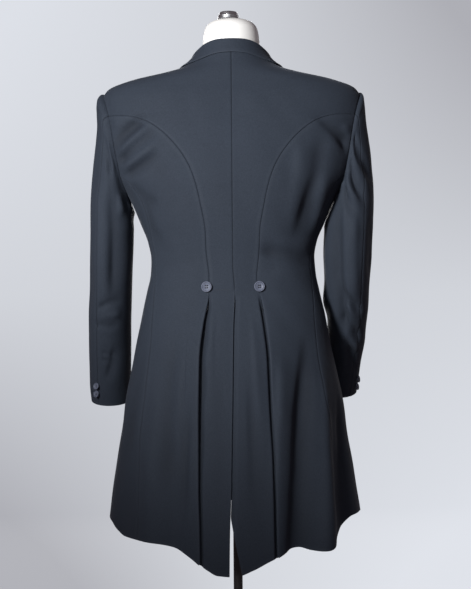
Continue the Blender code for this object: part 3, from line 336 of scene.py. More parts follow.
def normal(side, ph, t, e=4e-4):
    """Outward direction: the cross product of small steps round and up the surface."""
    du = skin(side, ph + e, t) - skin(side, ph - e, t)
    dv = skin(side, ph, t + e) - skin(side, ph, t - e)
    return unit(side * np.cross(dv, du))


def soft_lines(table, u, v, scale):
    """Creases on a flat chart: a bell across each line, faded at both its ends, line bowed."""
    out = 0.0
    for a0, z0, a1, z1, wide, high, bow in table:
        p = np.array([np.radians(a0) * scale, z0])
        d = np.array([np.radians(a1) * scale, z1]) - p
        length = np.hypot(*d)
        s = ((u - p[0]) * d[0] + (v - p[1]) * d[1]) / length ** 2
        c = ((v - p[1]) * d[0] - (u - p[0]) * d[1]) / length - bow * 4 * s * (1 - s)
        swell = 0.8 + 0.35 * np.sin(5.1 * s + 40 * wide * length + a0)
        wider = wide * (1 + 0.35 * (s - 0.5) + 0.25 * np.tanh(c / wide))
        ends = ease(s / 0.30 + 0.15) * ease((1 - s) / 0.38 + 0.15)
        out = out + high * swell * bell(c / wider) * ends
    return out


def drift(u, v):
    """Slow unevenness of worn cloth: three crossed waves, none a multiple of another."""
    return (0.00032 * np.sin(41 * u + 2.1 * np.sin(13 * v))
            + 0.00026 * np.sin(29 * v + 17 * u + 1.3)
            + 0.00018 * np.sin(67 * v - 53 * u + 2 * np.sin(19 * u)))


def place(side, ph, t, lift=0.0):
    """Point of the body surface, moved out along its normal by the lift and the creases, which
    calm down towards the neck and the armhole."""
    lift = np.asarray(lift, float) * np.ones(np.broadcast(ph, t).shape)
    z = z_of(t)
    calm = ease((1.445 - z) / 0.05)
    p = skin(side, ph, t)
    from_arm = np.hypot(p[..., 1] / ARM_DEEP, (z - ARM_Z) / ARM_HALF) - 1
    calm = calm * np.where(np.abs(p[..., 0] - COAT_X) > 0.15, ease(from_arm / 0.22), 1.0)
    worn = soft_lines(CREASES[side], CHART * ph, z, CHART) + 1.6 * drift(CHART * side * ph, z)
    return p + normal(side, ph, t) * (lift + calm * worn)[..., None]


def wall(side, ph, t, lift):
    """Outer and inner points of a cloth: the inner ones lie its thickness deeper."""
    return place(side, ph, t, lift), place(side, ph, t, lift - CLOTH)


def fold_painted_light(table, u, v, scale, turns=(0.0,)):
    """Painted light of the creases: troughs get a little painted shade, ridges a little painted
    highlight.
    """
    high = sum(soft_lines(table, u + turn * scale, v, scale) for turn in turns)
    return 0.42 * np.clip(high / 0.006, -1, 0) + 0.22 * np.clip(high / 0.006, 0, 1)


def body_painted_light(side, g):
    """Painted shade and highlight of the body creases on a grid of angles and lengths."""
    return fold_painted_light(CREASES[side], CHART * g[..., 0], z_of(g[..., 1]), CHART)


def angle(z, x, front=False):
    """Angle round the section at height z where it is x from the centre line."""
    a, n = HALF_WIDE(z), ROUND(z)
    deep = DEEP_FRONT(z) if front else DEEP_BACK(z)
    y = deep * (1 - np.clip(np.abs(x) / a, 0, 1) ** n) ** (1 / n)
    return np.mod(np.arctan2(x, -y), 2 * np.pi) if front else np.arctan2(x, y)


def pair(ph, z):
    """Angle and length up the profile side by side."""
    return np.stack([ph, t_of(z)], -1)


def along(rows, low, marks, cells, at):
    """Heights and distances of a seam line, read at fractional cells of even length."""
    rows = np.asarray(rows, float)
    z = np.linspace(low, rows[-1, 0], 1500)
    x = curve(rows)(z)
    run = np.concatenate([[0], np.cumsum(np.hypot(np.diff(z), np.diff(x)))])
    stops = np.interp([low, *marks], z, run)
    here = np.interp(at, np.concatenate([[0], np.cumsum(cells)]), stops)
    return np.interp(here, run, z), np.interp(here, run, x)


def hem_on(side, x_of):
    """Height where a seam line meets the hem, found by going back and forth between the two."""
    z = 0.57
    for _ in range(12):
        z = float(curve(HEM[side])(np.degrees(angle(z, x_of(z)))))
    return z


def hem_at(side, ph):
    """Hem points at given angles."""
    return pair(ph, curve(HEM[side])(np.degrees(ph)))


def armhole(side, beta):
    """Armhole edge by angle: 0 at the shoulder, a quarter turn at the back."""
    z = ARM_Z + ARM_HALF * np.cos(beta)
    y = ARM_DEEP * np.sin(beta)
    deep = np.where(y >= 0, DEEP_BACK(z), DEEP_FRONT(z))
    x = HALF_WIDE(z) * (1 - (np.abs(y) / deep) ** ROUND(z)) ** (1 / ROUND(z))
    return pair(np.arctan2(x, y), z)


B_BACK = np.arccos((BACK_SEAM_Z - ARM_Z) / ARM_HALF)
B_SIDE = np.arccos((SIDE_SEAM_Z - ARM_Z) / ARM_HALF)
B_FORE = (B_SIDE + 2 * np.pi) / 2


def blended(out, at, goal):
    """Bring the last cell of a seam line onto the armhole."""
    return out + (goal - out[-1]) * ease(at - SEAM_ROWS + 1)[:, None]


def back_edge(side, at):
    """Pleat fold, then the curved back seam, up to the armhole."""
    rows = PLEAT[side] + BACK_SEAM
    z, x = along(rows, hem_on(side, curve(rows)), [PLEAT_TOP, WAIST, BACK_SEAM_Z],
                 [SKIRT, WAISTBAND, BODY], at)
    return blended(pair(angle(z, x), z), at, armhole(side, B_BACK))


def side_edge(side, at):
    """Side seam from hem to armhole."""
    z, x = along(SIDE_SEAM, hem_on(side, curve(SIDE_SEAM)), [0.985, 1.030, SIDE_SEAM_Z],
                 [SKIRT, WAISTBAND, BODY], at)
    return blended(pair(angle(z, x), z), at, armhole(side, B_SIDE))


def shoulder_edge(share):
    """Shoulder seam from the armhole's crown to the neck, its cells wider at first."""
    share = share + 0.35 * share * (1 - share)
    crown = t_of(ARM_Z + ARM_HALF)
    z = z_of(crown + (t_of(NECK_SIDE) - crown) * share)
    return pair(np.full_like(z, np.pi / 2), z)


def centre_edge(side, at):
    """Centre back: seam above the waist, vent edge below it."""
    cells = np.cumsum([0, SKIRT, WAISTBAND, BODY, ARM, SHOULDER])
    z = np.interp(at, cells, [0.531, PLEAT_TOP, WAIST, 1.3585, 1.402, NECK_BACK])
    seam = z_of(back_edge(side, np.append(at[at < SEAM_ROWS], SEAM_ROWS))[:-1, 1])
    body = (at > SKIRT + WAISTBAND) & (at < SEAM_ROWS)
    z[body] = curve(CENTRE_ROWS)(seam[body[:len(seam)]])
    x = curve(VENT)(z)
    if side < 0:
        x = np.where(z < WAIST, np.minimum(x - 0.0006, curve(UNDERLAP)(z)), x)
    return pair(np.arctan2(side * x, DEEP_BACK(z)), z)


def tuck_back(side, g):
    """Depth of the back piece under the neighbouring folds, from its angle and height."""
    p = skin(side, g[..., 0], g[..., 1])
    x, z = side * (p[..., 0] - COAT_X), p[..., 2]
    fold = curve(PLEAT[side] + BACK_SEAM)(z)
    wide = curve(RECESS[side])(z) + 0.002
    deep = PLEAT_DROP * ease((WAIST - z) / (WAIST - PLEAT_TOP)) * (z < WAIST + 0.001)
    drop = deep * ease((x - fold + wide) / (wide - 0.0015))
    if side < 0:
        lap = side * curve(VENT)(z)
        down = VENT_DROP * ease((WAIST - z) / 0.022) * (0.35 + 0.65 * ease((z - 0.56) / 0.07))
        drop = drop + down * ease((lap + 0.011 - x) / 0.010) * (z < WAIST + 0.001)
    return -drop


def patch(left, right, low, high, u, fade_low, fade_high, bow=None):
    """Four-sided patch: rows from left to right edge, bent near the hem and the top edge;
    bow lifts a row early so that it runs in nearly level with its right end."""
    u = u[None, :, None]
    mix = (1 - u) * left[:, None] + u * right[:, None]
    if bow is not None:
        lifted = 1 - (1 - u[..., 0]) ** bow[:, None]
        mix[..., 1] = left[:, None, 1] + (right[:, None, 1] - left[:, None, 1]) * lifted
    flat_low = (1 - u[0]) * low[0] + u[0] * low[-1]
    flat_high = (1 - u[0]) * high[0] + u[0] * high[-1]
    return (mix + fade_low[:, None, None] * (low - flat_low)
            + fade_high[:, None, None] * (high - flat_high))


def relax(g, turns=500):
    """Even out a patch inside its fixed edges (Winslow smoothing), so that no cell folds over."""
    x = g * np.array([0.18, 1.0])
    for _ in range(turns):
        across = (x[1:-1, 2:] - x[1:-1, :-2]) / 2
        upward = (x[2:, 1:-1] - x[:-2, 1:-1]) / 2
        skew = (x[2:, 2:] - x[2:, :-2] - x[:-2, 2:] + x[:-2, :-2]) / 4
        a = (upward ** 2).sum(-1, keepdims=True)
        b = (across * upward).sum(-1, keepdims=True)
        c = (across ** 2).sum(-1, keepdims=True)
        x[1:-1, 1:-1] = (a * (x[1:-1, 2:] + x[1:-1, :-2]) + c * (x[2:, 1:-1] + x[:-2, 1:-1])
                         - 2 * b * skew) / (2 * (a + c))
    return x / np.array([0.18, 1.0])


def lengths(grid, axis):
    """Length run from the first line of a grid, along its rows (axis 1) or columns (axis 0)."""
    d = np.linalg.norm(np.diff(grid, axis=axis), axis=-1)
    pad = [(1, 0), (0, 0)] if axis == 0 else [(0, 0), (1, 0)]
    return np.pad(np.cumsum(d, axis=axis), pad)


def sewn(d, run, share=1.0):
    """Height beside a seam: drawn in at the seam, a low pressed ridge beside it, light puckers."""
    pucker = 0.00016 * np.sin(run / 0.0023 + 1.7 * np.sin(run / 0.013)) * bell(d / 0.005)
    ridge = 0.00014 * bell((d - PRESS_AT) / PRESS_WIDE)
    return share * (ridge + pucker - SEAM_DEEP * bell(d / SEAM_WIDE))


def dark(*gaps):
    """Shade of a seam line: full at the seam, gone a millimetre and a half from it."""
    return -sum(0.55 * bell(g / SEAM_WIDE) for g in gaps)


def pressed(*gaps):
    """Shine of the pressed ridges beside seams, by distance from each seam."""
    return sum(bell((g - PRESS_AT) / PRESS_WIDE) for g in gaps)


def inset(outer, inner, cols=(), rows=()):
    """Draw an edge of a piece in by half the seam space, square to the edge."""
    jobs = [(c, c + 1 if c == 0 else c - 1, False) for c in cols]
    jobs += [(r, r - 1 if r < 0 else r + 1, True) for r in rows]
    for which, nxt, is_row in jobs:
        edge = outer[which] if is_row else outer[:, which]
        near = outer[nxt] if is_row else outer[:, nxt]
        tang = unit(np.gradient(edge, axis=0))
        way = near - edge
        way = 0.5 * SEAM * unit(way - tang * (way * tang).sum(1, keepdims=True))
        for g in (outer, inner):
            if is_row:
                g[which] += way
            else:
                g[:, which] += way


def mesh_object(name, verts, faces, uv=None, rub=None, sharp=None):
    """Object from arrays: quads or triangles, a UV and a value of wear and painted light for every
    point.
    """
    mesh = bpy.data.meshes.new(name)
    mesh.from_pydata(verts.tolist(), [], [list(map(int, f)) for f in faces])
    mesh.update()
    mesh.shade_smooth()
    if sharp is not None:
        mesh.set_sharp_from_angle(angle=np.radians(sharp))
    index = np.zeros(len(mesh.loops), np.int32)
    mesh.loops.foreach_get("vertex_index", index)
    if uv is not None:
        mesh.uv_layers.new(name="grain").data.foreach_set("uv", uv[index].astype(np.float32).ravel())
    if rub is not None:
        layer = mesh.attributes.new("rub", "FLOAT", "POINT")
        layer.data.foreach_set("value", rub.astype(np.float32))
    obj = bpy.data.objects.new(name, mesh)
    bpy.context.scene.collection.objects.link(obj)
    return obj


def dressed(obj, material, node=None):
    """Give a piece its material, its body and the node it stands for."""
    obj.data.materials.append(material)
    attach(obj, "root")
    if node:
        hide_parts(node)
    return obj


def cloth(name, outer, inner, rub, mask=None, base=0):
    """Closed cloth wall: outer grid, inner grid, and a rounded rim (a line pushed out by a share
    of the wall) round every free edge. The side that faces out is found from its volume."""
    r, c = outer.shape[:2]
    mask = np.ones((r - 1, c - 1), bool) if mask is None else mask
    idx = np.arange(r * c).reshape(r, c)
    i, j = np.nonzero(mask)
    quad = np.stack([idx[i, j], idx[i, j + 1], idx[i + 1, j + 1], idx[i + 1, j]], 1)
    a, b = quad.ravel(), np.roll(quad, -1, 1).ravel()
    _, first, count = np.unique(np.minimum(a, b) * (r * c) + np.maximum(a, b),
                                return_index=True, return_counts=True)
    free = first[count == 1]
    p, q, cell = a[free], b[free], quad[free // 4]
    flat_o, flat_i = outer.reshape(-1, 3), inner.reshape(-1, 3)
    mid = (flat_o + flat_i) / 2
    way = (mid[p] + mid[q]) / 2 - mid[cell].mean(1)
    run = unit(mid[q] - mid[p])
    way = unit(way - run * (way * run).sum(1, keepdims=True))
    push = np.zeros_like(mid)
    np.add.at(push, p, way)
    np.add.at(push, q, way)
    rim = np.unique(np.concatenate([p, q]))
    thick = np.linalg.norm(flat_o[rim] - flat_i[rim], axis=1, keepdims=True)
    where = np.full(r * c, -1)
    where[rim] = np.arange(len(rim)) + 2 * r * c
    verts = np.concatenate([flat_o, flat_i, mid[rim] + unit(push[rim]) * thick * 0.16])
    faces = np.concatenate([quad, quad[:, ::-1] + r * c, np.stack([q, p, where[p], where[q]], 1),
                            np.stack([where[q], where[p], p + r * c, q + r * c], 1)])
    across, up = lengths(outer, 1), lengths(outer, 0)
    uv = np.stack([across - across[:, base:base + 1], np.median(up, axis=1, keepdims=True)
                   + 0 * across], -1).reshape(-1, 2)
    wear_and_painted_light_all = np.concatenate([rub.ravel(), np.zeros(r * c), np.ones(len(rim))])
    uv_all = np.concatenate([uv, uv, uv[rim]])
    used = np.unique(faces)
    new = np.full(len(verts), -1)
    new[used] = np.arange(len(used))
    faces, verts = new[faces], verts[used]
    v0, v1, v2, v3 = (verts[faces[:, k]] for k in range(4))
    volume = (v0 * np.cross(v1, v2)).sum() + (v0 * np.cross(v2, v3)).sum()
    faces = faces[:, ::-1] if volume < 0 else faces
    return dressed(mesh_object(name, verts, faces, uv_all[used], wear_and_painted_light_all[used]), WOOL)


def widen(outer, inner, strip, rows, end, mask=None, first=0):
    """Add columns that exist only for some rows, at the end or the start of a grid; the strip
    lists an outer and an inner line for each column."""
    full = outer.shape[0]
    mask = np.ones((full - 1, outer.shape[1] - 1), bool) if mask is None else mask
    extra, extra_in = np.zeros((2, full, len(strip), 3))
    extra[first:rows] = np.stack([o for o, _ in strip], 1)
    extra_in[first:rows] = np.stack([i for _, i in strip], 1)
    keep = np.zeros((full - 1, len(strip)), bool)
    keep[first:rows - 1] = True

    def join(a, b):
        return np.concatenate([a, b] if end else [b, a], axis=1)
    return join(outer, extra), join(inner, extra_in), join(mask, keep)


def columns(n):
    """Shares across a piece, closer at both edges."""
    near = np.array([0.0, 0.004, 0.009, 0.016, 0.026])
    mid = np.linspace(0.04, 0.96, n)
    return np.concatenate([near, mid, 1 - near[::-1]])


def per_length(side, ph, t):
    """Angle that moves a point one metre round the body."""
    way = skin(side, ph + 0.01, t) - skin(side, ph, t)
    return 0.01 / np.linalg.norm(way, axis=1)


def hem_rise(side, ph0, ph, t):
    """How much higher the hem is at angle ph than at ph0, faded out above the skirt's foot."""
    z = z_of(t)
    hem = curve(HEM[side])
    rise = t_of(hem(np.degrees(ph))) - t_of(hem(np.degrees(ph0)))
    rise = rise + 0.0025 * ease(np.abs(ph - ph0) / 0.04)
    return t + rise * ease((0.72 - z) / 0.16)


def seam_fade(at):
    """The curved seam's dark line, weaker over its last cells, where it runs in to the armhole."""
    return (1 - 0.6 * ease((at - SEAM_ROWS + 2.6) / 1.2))[:, None]


def back_cloth(side, name):
    """Back: from the centre line to pleat fold, curved seam, armhole and shoulder in turn."""
    above = SEAM_ROWS + np.linspace(0, ARM + SHOULDER, 65)
    at = np.unique(np.concatenate([steps(SEAM_ROWS, 8), above]))
    edge = back_edge(side, np.append(at[at < SEAM_ROWS], SEAM_ROWS))
    up = at[(at > SEAM_ROWS) & (at <= SEAM_ROWS + ARM)] - SEAM_ROWS
    over = at[at > SEAM_ROWS + ARM] - SEAM_ROWS - ARM
    right = np.concatenate([edge, armhole(side, B_BACK * (1 - up / ARM)),
                            shoulder_edge(over / SHOULDER)])
    left = centre_edge(side, at)
    u = columns(38)
    low = hem_at(side, left[0, 0] + (right[0, 0] - left[0, 0]) * u)
    low[0], low[-1] = left[0], right[0]
    top = pair(left[-1, 0] + (np.pi / 2 - left[-1, 0]) * u,
               NECK_BACK - (NECK_BACK - NECK_SIDE) * np.sin(np.pi / 2 * u) ** 2)
    z = z_of(left[:, 1])
    bow = 1 + 2.2 * ease((z - 1.22) / 0.11) * ease((1.46 - z) / 0.08)
    g = patch(left, right, low, top, u, ease((0.80 - z) / 0.27), ease((z - 1.40) / 0.10) ** 2, bow)
    flat = skin(side, g[..., 0], g[..., 1])
    d, v = lengths(flat, 1), lengths(flat, 0)
    seam_side = ease((at - SKIRT - WAISTBAND) / 0.6)[:, None]
    stitched = sewn(d, v, 1.0) * ease((z - WAIST) / 0.006)[:, None]
    stitched = stitched + sewn(d[:, -1:] - d, v, 1.0) * seam_side
    drop = tuck_back(side, g)
    outer, inner = wall(side, g[..., 0], g[..., 1], drop + stitched)
    inset(outer, inner, cols=(0, len(u) - 1))
    rub = 0.3 * bell(d / PRESS_WIDE) * (1 - ease((z - WAIST) / 0.01)[:, None])
    rub = rub + 0.35 * pressed(d[:, -1:] - d) * seam_side + 0.4 * bell(v / EDGE_WEAR)
    rub = rub + dark(d) * ease((z - WAIST) / 0.004)[:, None]
    # Painted shade in the crease troughs and painted highlight on their ridges are added here.
    rub = rub + dark(d[:, -1:] - d) * seam_side * seam_fade(at) + body_painted_light(side, g)
    # Painted shadow: the back is painted darker where it lies deep under a pleat fold or the vent's
    # lap.
    rub = rub - 0.55 * np.clip(-drop / PLEAT_DROP, 0, 1)
    rows = int(np.searchsorted(at, SKIRT)) + 1
    ph0, t0 = right[:rows, 0], right[:rows, 1]
    strip, per = [], per_length(side, ph0, t0)
    for reach in (0.0015, 0.006, 0.012, 0.019, PLEAT_IN):
        ph = ph0 + per * reach
        strip.append(wall(side, ph, hem_rise(side, ph0, ph, t0), -PLEAT_DROP))
    outer, inner, mask = widen(outer, inner, strip, rows, end=True)
    rub = np.pad(rub, [(0, 0), (0, len(strip))])
    lap = []
    if side < 0:
        first = int(np.argmax(z > 0.66))
        zl = z[first:rows]
        for f in np.linspace(1.0, 0.06, 9):
            x = curve(VENT)(zl) * (1 - f) + curve(UNDERLAP)(zl) * f
            lap.append(wall(side, np.arctan2(-x, DEEP_BACK(zl)), t_of(zl), -VENT_DROP))
        outer, inner, mask = widen(outer, inner, lap, rows, False, mask, first)
        rub = np.pad(rub, [(0, 0), (len(lap), 0)])
    return cloth(name, outer, inner, rub, mask, len(lap))


def side_cloth(side, name):
    """Side body with its skirt: its back edge turns under as the pleat fold below the waist."""
    at = steps(SEAM_ROWS, 8)
    left, right = back_edge(side, at), side_edge(side, at)
    u = columns(36)
    low = hem_at(side, left[0, 0] + (right[0, 0] - left[0, 0]) * u)
    low[0], low[-1] = left[0], right[0]
    high = armhole(side, B_BACK + (B_SIDE - B_BACK) * u)
    z = z_of(right[:, 1])
    g = patch(left, right, low, high, u, ease((0.80 - z) / 0.21), ease((z - 1.08) / 0.179) ** 1.5)
    flat = skin(side, g[..., 0], g[..., 1])
    d, v = lengths(flat, 1), lengths(flat, 0)
    pleat = (1 - ease((at - SKIRT - WAISTBAND) / 0.5))[:, None]
    lift = (sewn(d, v) * (1 - pleat) + sewn(d[:, -1:] - d, v, 0.9) + sewn(v[-1:] - v, d, 0.8))
    rub = 0.25 * bell(d / 0.0035) * pleat + 0.3 * pressed(d) * (1 - pleat)
    rub = rub + 0.25 * pressed(d[:, -1:] - d) + 0.4 * bell(v / EDGE_WEAR)
    rub = rub + dark(d) * (1 - pleat) * seam_fade(at) + dark(d[:, -1:] - d, v[-1:] - v)
    # Painted shade in the crease troughs, painted highlight on their ridges.
    rub = rub + body_painted_light(side, g)
    proud = curve(PROUD[side])(z_of(left[:, 1])) * (z_of(left[:, 1]) < WAIST)
    lift = lift + proud[:, None] * bell(d / 0.030)
    outer, inner = wall(side, g[..., 0], g[..., 1], lift)
    inset(outer, inner, cols=(0, len(u) - 1))
    rows = int(np.searchsorted(at, SKIRT + WAISTBAND))
    ph0, t0, proud = left[:rows, 0], left[:rows, 1], proud[:rows]
    per = per_length(side, ph0, t0)
    # Round the fold: how far in and how high its outer line runs, then its inner line
    bend, small = np.radians(np.linspace(90, -90, 11)), FOLD_R - CLOTH
    turns = [((FOLD_R * (1 - np.cos(b)), FOLD_R * np.sin(b)),
              (FOLD_R - small * np.cos(b), small * np.sin(b))) for b in bend]
    turns += [((far, -FOLD_R), (far, -small)) for far in (0.006, 0.012, 0.019, PLEAT_IN)]
    full = 0.3 + 0.7 * ease((WAIST - z_of(t0)) / 0.030)
    edge_o, edge_i = wall(side, ph0 + per * full * turns[0][0][0], t0, proud)
    fade = bell(u / 0.085)[None, :, None]
    outer[:rows] += (edge_o - outer[:rows, 0])[:, None] * fade
    inner[:rows] += (edge_i - inner[:rows, 0])[:, None] * fade

    def line(far, high):
        return place(side, ph0 + per * full * far, hem_rise(side, ph0, ph0 + per * far, t0),
                     proud + (high - FOLD_R) * full)
    strip = [(line(*a), line(*b)) for a, b in turns[:0:-1]]
    outer, inner, mask = widen(outer, inner, strip, rows, end=False)
    rub = np.pad(rub, [(0, 0), (len(strip), 0)])
    rub[:rows, len(strip) - 5:len(strip)] = 0.25
    return cloth(name, outer, inner, rub, mask, len(strip))


def front_edge(side, at):
    """Front edge up to the roll line's foot, then the roll line and neckline."""
    low = float(curve(HEM[side])(184))
    roll_at = SKIRT + WAISTBAND + 3
    z = np.interp(at, [0, SKIRT, SKIRT + WAISTBAND, roll_at], [low, 0.985, 1.03, BREAK])
    edge = pair(angle(z, -FRONT_LAP + 0 * z, front=True), z)
    zz = np.linspace(BREAK, NECK_SIDE, 900)
    p = skin(side, np.radians(curve(ROLL)(zz)), t_of(zz))
    run = lengths(p[:, None], 0)[:, 0]
    share = np.clip((at - roll_at) / (SEAM_ROWS - roll_at), 0, 1)
    zr = np.interp(share * run[-1], run, zz)
    return np.where((at <= roll_at)[:, None], edge, pair(np.radians(curve(ROLL)(zr)), zr))


def tuck_front(side, ph, t):
    """Depth of the right front where the left one lies over it."""
    if side > 0:
        return np.zeros(np.broadcast(ph, t).shape)
    p = skin(side, ph, t)
    x, z = side * (p[..., 0] - COAT_X), p[..., 2]
    under = ease((0.038 - x) / 0.013) * ease((1.205 - z) / 0.025) * (np.cos(ph) < 0)
    return -FRONT_DROP * under


def front_top(side, at):
    """Top edge of a front: round the armhole, then along the shoulder."""
    arm = armhole(side, B_SIDE + (2 * np.pi - B_SIDE) * np.clip(at / FRONT_ARM, 0, 1))
    return np.where((at < FRONT_ARM)[:, None], arm,
                    shoulder_edge(np.clip((at - FRONT_ARM) / SHOULDER, 0, 1)))


def front_grid(side, rows, cols):
    """Coarse relaxed patch, read by splines at finer rows and columns, its edges set exactly."""
    r0, c0 = np.arange(SEAM_ROWS + 1.0), np.arange(FRONT_ARM + SHOULDER + 1.0)
    left, right, high = side_edge(side, r0), front_edge(side, r0), front_top(side, c0)
    p = skin(side, high[:, 0], high[:, 1])
    u = lengths(p[:, None], 0)[:, 0]
    u = u / u[-1]
    low = hem_at(side, left[0, 0] + (right[0, 0] - left[0, 0]) * u)
    low[0], low[-1] = left[0], right[0]
    v = (left[:, 1] - left[0, 1]) / (left[-1, 1] - left[0, 1])
    g = relax(patch(left, right, low, high, u, 1 - v, v))
    g = spline(g, rows)
    g = np.swapaxes(spline(np.swapaxes(g, 0, 1), cols), 0, 1)
    share_u, share_v = (cols / c0[-1])[None, :, None], (rows / r0[-1])[:, None, None]
    e_left, e_right = side_edge(side, rows) - g[:, 0], front_edge(side, rows) - g[:, -1]
    g = g + (1 - share_u) * e_left[:, None] + share_u * e_right[:, None]
    bottom = hem_at(side, g[0, :, 0])
    bottom[0], bottom[-1] = g[0, 0], g[0, -1]
    top = front_top(side, cols)
    return g + (1 - share_v) ** 3 * (bottom - g[0]) + share_v ** 3 * (top - g[-1])


def front_cloth(side, name):
    """Front: side seam, armhole, shoulder, roll line and front edge round one relaxed patch."""
    rows, cols = steps(SEAM_ROWS, 8), steps(FRONT_ARM + SHOULDER, 5)
    g = front_grid(side, rows, cols)
    flat = skin(side, g[..., 0], g[..., 1])
    d, v = lengths(flat, 1), lengths(flat, 0)
    top = v[-1:] - v
    lift = tuck_front(side, g[..., 0], g[..., 1]) + sewn(d, v, 0.9) + sewn(top, d, 0.8)
    rub = 0.25 * pressed(d) + 0.5 * bell((d[:, -1:] - d) / EDGE_WEAR) + 0.4 * bell(v / EDGE_WEAR)
    # Painted shade in the crease troughs, painted highlight on their ridges.
    rub = rub + dark(d, top) + body_painted_light(side, g)
    outer, inner = wall(side, g[..., 0], g[..., 1], lift)
    inset(outer, inner, cols=(0,))
    shoulder = int(np.searchsorted(cols, FRONT_ARM))
    inset(outer[:, shoulder:], inner[:, shoulder:], rows=(-1,))
    return cloth(name, outer, inner, rub)


def lapel_cloth(side, name):
    """Lapel: from the roll line to its outer edge, standing clear of the front it lies on."""
    foot = LAPEL_FOOT[side]
    v = steps(8, 10) / 8
    high, low = 1.400, LAPEL_FOOT[1]
    z0 = foot + (high - foot) * v
    a = pair(np.radians(curve(ROLL)(z0) - 0.2), z0)
    share = (z0 - low) / (high - low)
    x1, z1 = curve(LAPEL, 1)(share), curve(LAPEL, 2)(share)
    if side < 0:
        gap = ease(v / 0.35)
        x0 = side * (skin(side, a[:, 0], a[:, 1])[:, 0] - COAT_X)
        x1, z1 = x0 + 0.002 + (x1 - x0 - 0.002) * gap, z0 + (z1 - z0) * gap
    b = pair(angle(z1, x1, front=True), z1)
    u = columns(24)
    g = (1 - u)[None, :, None] * a[:, None] + u[None, :, None] * b[:, None]
    base = tuck_front(side, g[..., 0], g[..., 1])
    d = lengths(skin(side, g[..., 0], g[..., 1]), 1)
    edge = d[:, -1:] - d
    roll = 0.0016 * bell((u - 0.10) / 0.16) * ease(v / 0.15)[:, None]
    up = base + 0.0006 + 0.0012 * ease(u / 0.5) + roll
    press = -0.00035 * bell((edge - 0.0055) / 0.0012)
    outer = place(side, g[..., 0], g[..., 1], up + CLOTH + press)
    inner = place(side, g[..., 0], g[..., 1], up)
    return cloth(name, outer, inner, 0.6 * bell(edge / EDGE_WEAR) + 0.3 * bell(d / 0.006))


def smooth_along(grid, wide):
    """Average each line of a grid with its neighbours, ends kept."""
    k = bell(np.arange(-3 * wide, 3 * wide + 1) / wide)
    k /= k.sum()
    n = 3 * wide
    head = 2 * grid[:1] - grid[n:0:-1]
    tail = 2 * grid[-1:] - grid[-2:-n - 2:-1]
    full = np.concatenate([head, grid, tail])
    return sum(w * full[i:i + len(grid)] for i, w in enumerate(k))


def collar_cloth():
    """Collar: a stand that rises from the neck seam, a round fold, and a leaf that falls
    outside; half of it for each side, joined at the centre back."""
    w = np.linspace(0, 1, 85)
    seam_a, seam_z, fold_z, leaf_a, leaf_z = (curve(COLLAR, c)(w) for c in range(1, 6))
    halves_o, halves_i = [], []
    r_out, gap = 0.0034, 0.0004 + 0.0030 * ease((w - 0.44) / 0.14)
    over = 0.0012 + 0.0004 * ease((w - 0.30) / 0.14) * ease((0.70 - w) / 0.14)
    for side in (1, -1):
        sa, la = np.radians(seam_a), np.radians(leaf_a)
        ts, tf, tl = t_of(seam_z) + gap, t_of(fold_z), t_of(leaf_z)
        outer, inner = [], []
        for k in np.linspace(0, 1, 7):
            t = ts + (tf - r_out - ts) * k
            outer.append(place(side, sa, t, -0.0022))
            inner.append(place(side, sa, t, -0.0002))
        for b in np.radians(np.linspace(160, 20, 9)):
            for lines, r in ((outer, r_out), (inner, r_out - CLOTH)):
                lines.append(place(side, sa, tf - r_out + r * np.sin(b), 0.0012 + r * np.cos(b)))
        for k in np.concatenate([[0, 0.03], np.linspace(0.08, 0.94, 20), [0.96, 0.98, 0.99, 1.0]]):
            ph, t = sa + (la - sa) * k, tf - r_out + (tl - tf + r_out) * k
            edge = (1 - k) * np.abs(tl - tf + r_out)
            press = -0.0004 * bell((edge - 0.0055) / 0.0011) - 0.0003 * bell(edge / 0.0012)
            outer.append(place(side, ph, t, over + CLOTH + press))
            inner.append(place(side, ph, t, over))
        halves_o.append(np.stack(outer, 1))
        halves_i.append(np.stack(inner, 1))
    outer = smooth_along(np.concatenate([halves_o[1][:0:-1], halves_o[0]]), 3)
    inner = smooth_along(np.concatenate([halves_i[1][:0:-1], halves_i[0]]), 3)
    d = lengths(outer, 1)
    fold = d[:, 11:12]
    rub = 0.6 * bell((d[:, -1:] - d) / EDGE_WEAR) + 0.35 * bell((d - fold) / EDGE_WEAR)
    return cloth("collar_cloth", outer, inner, rub)


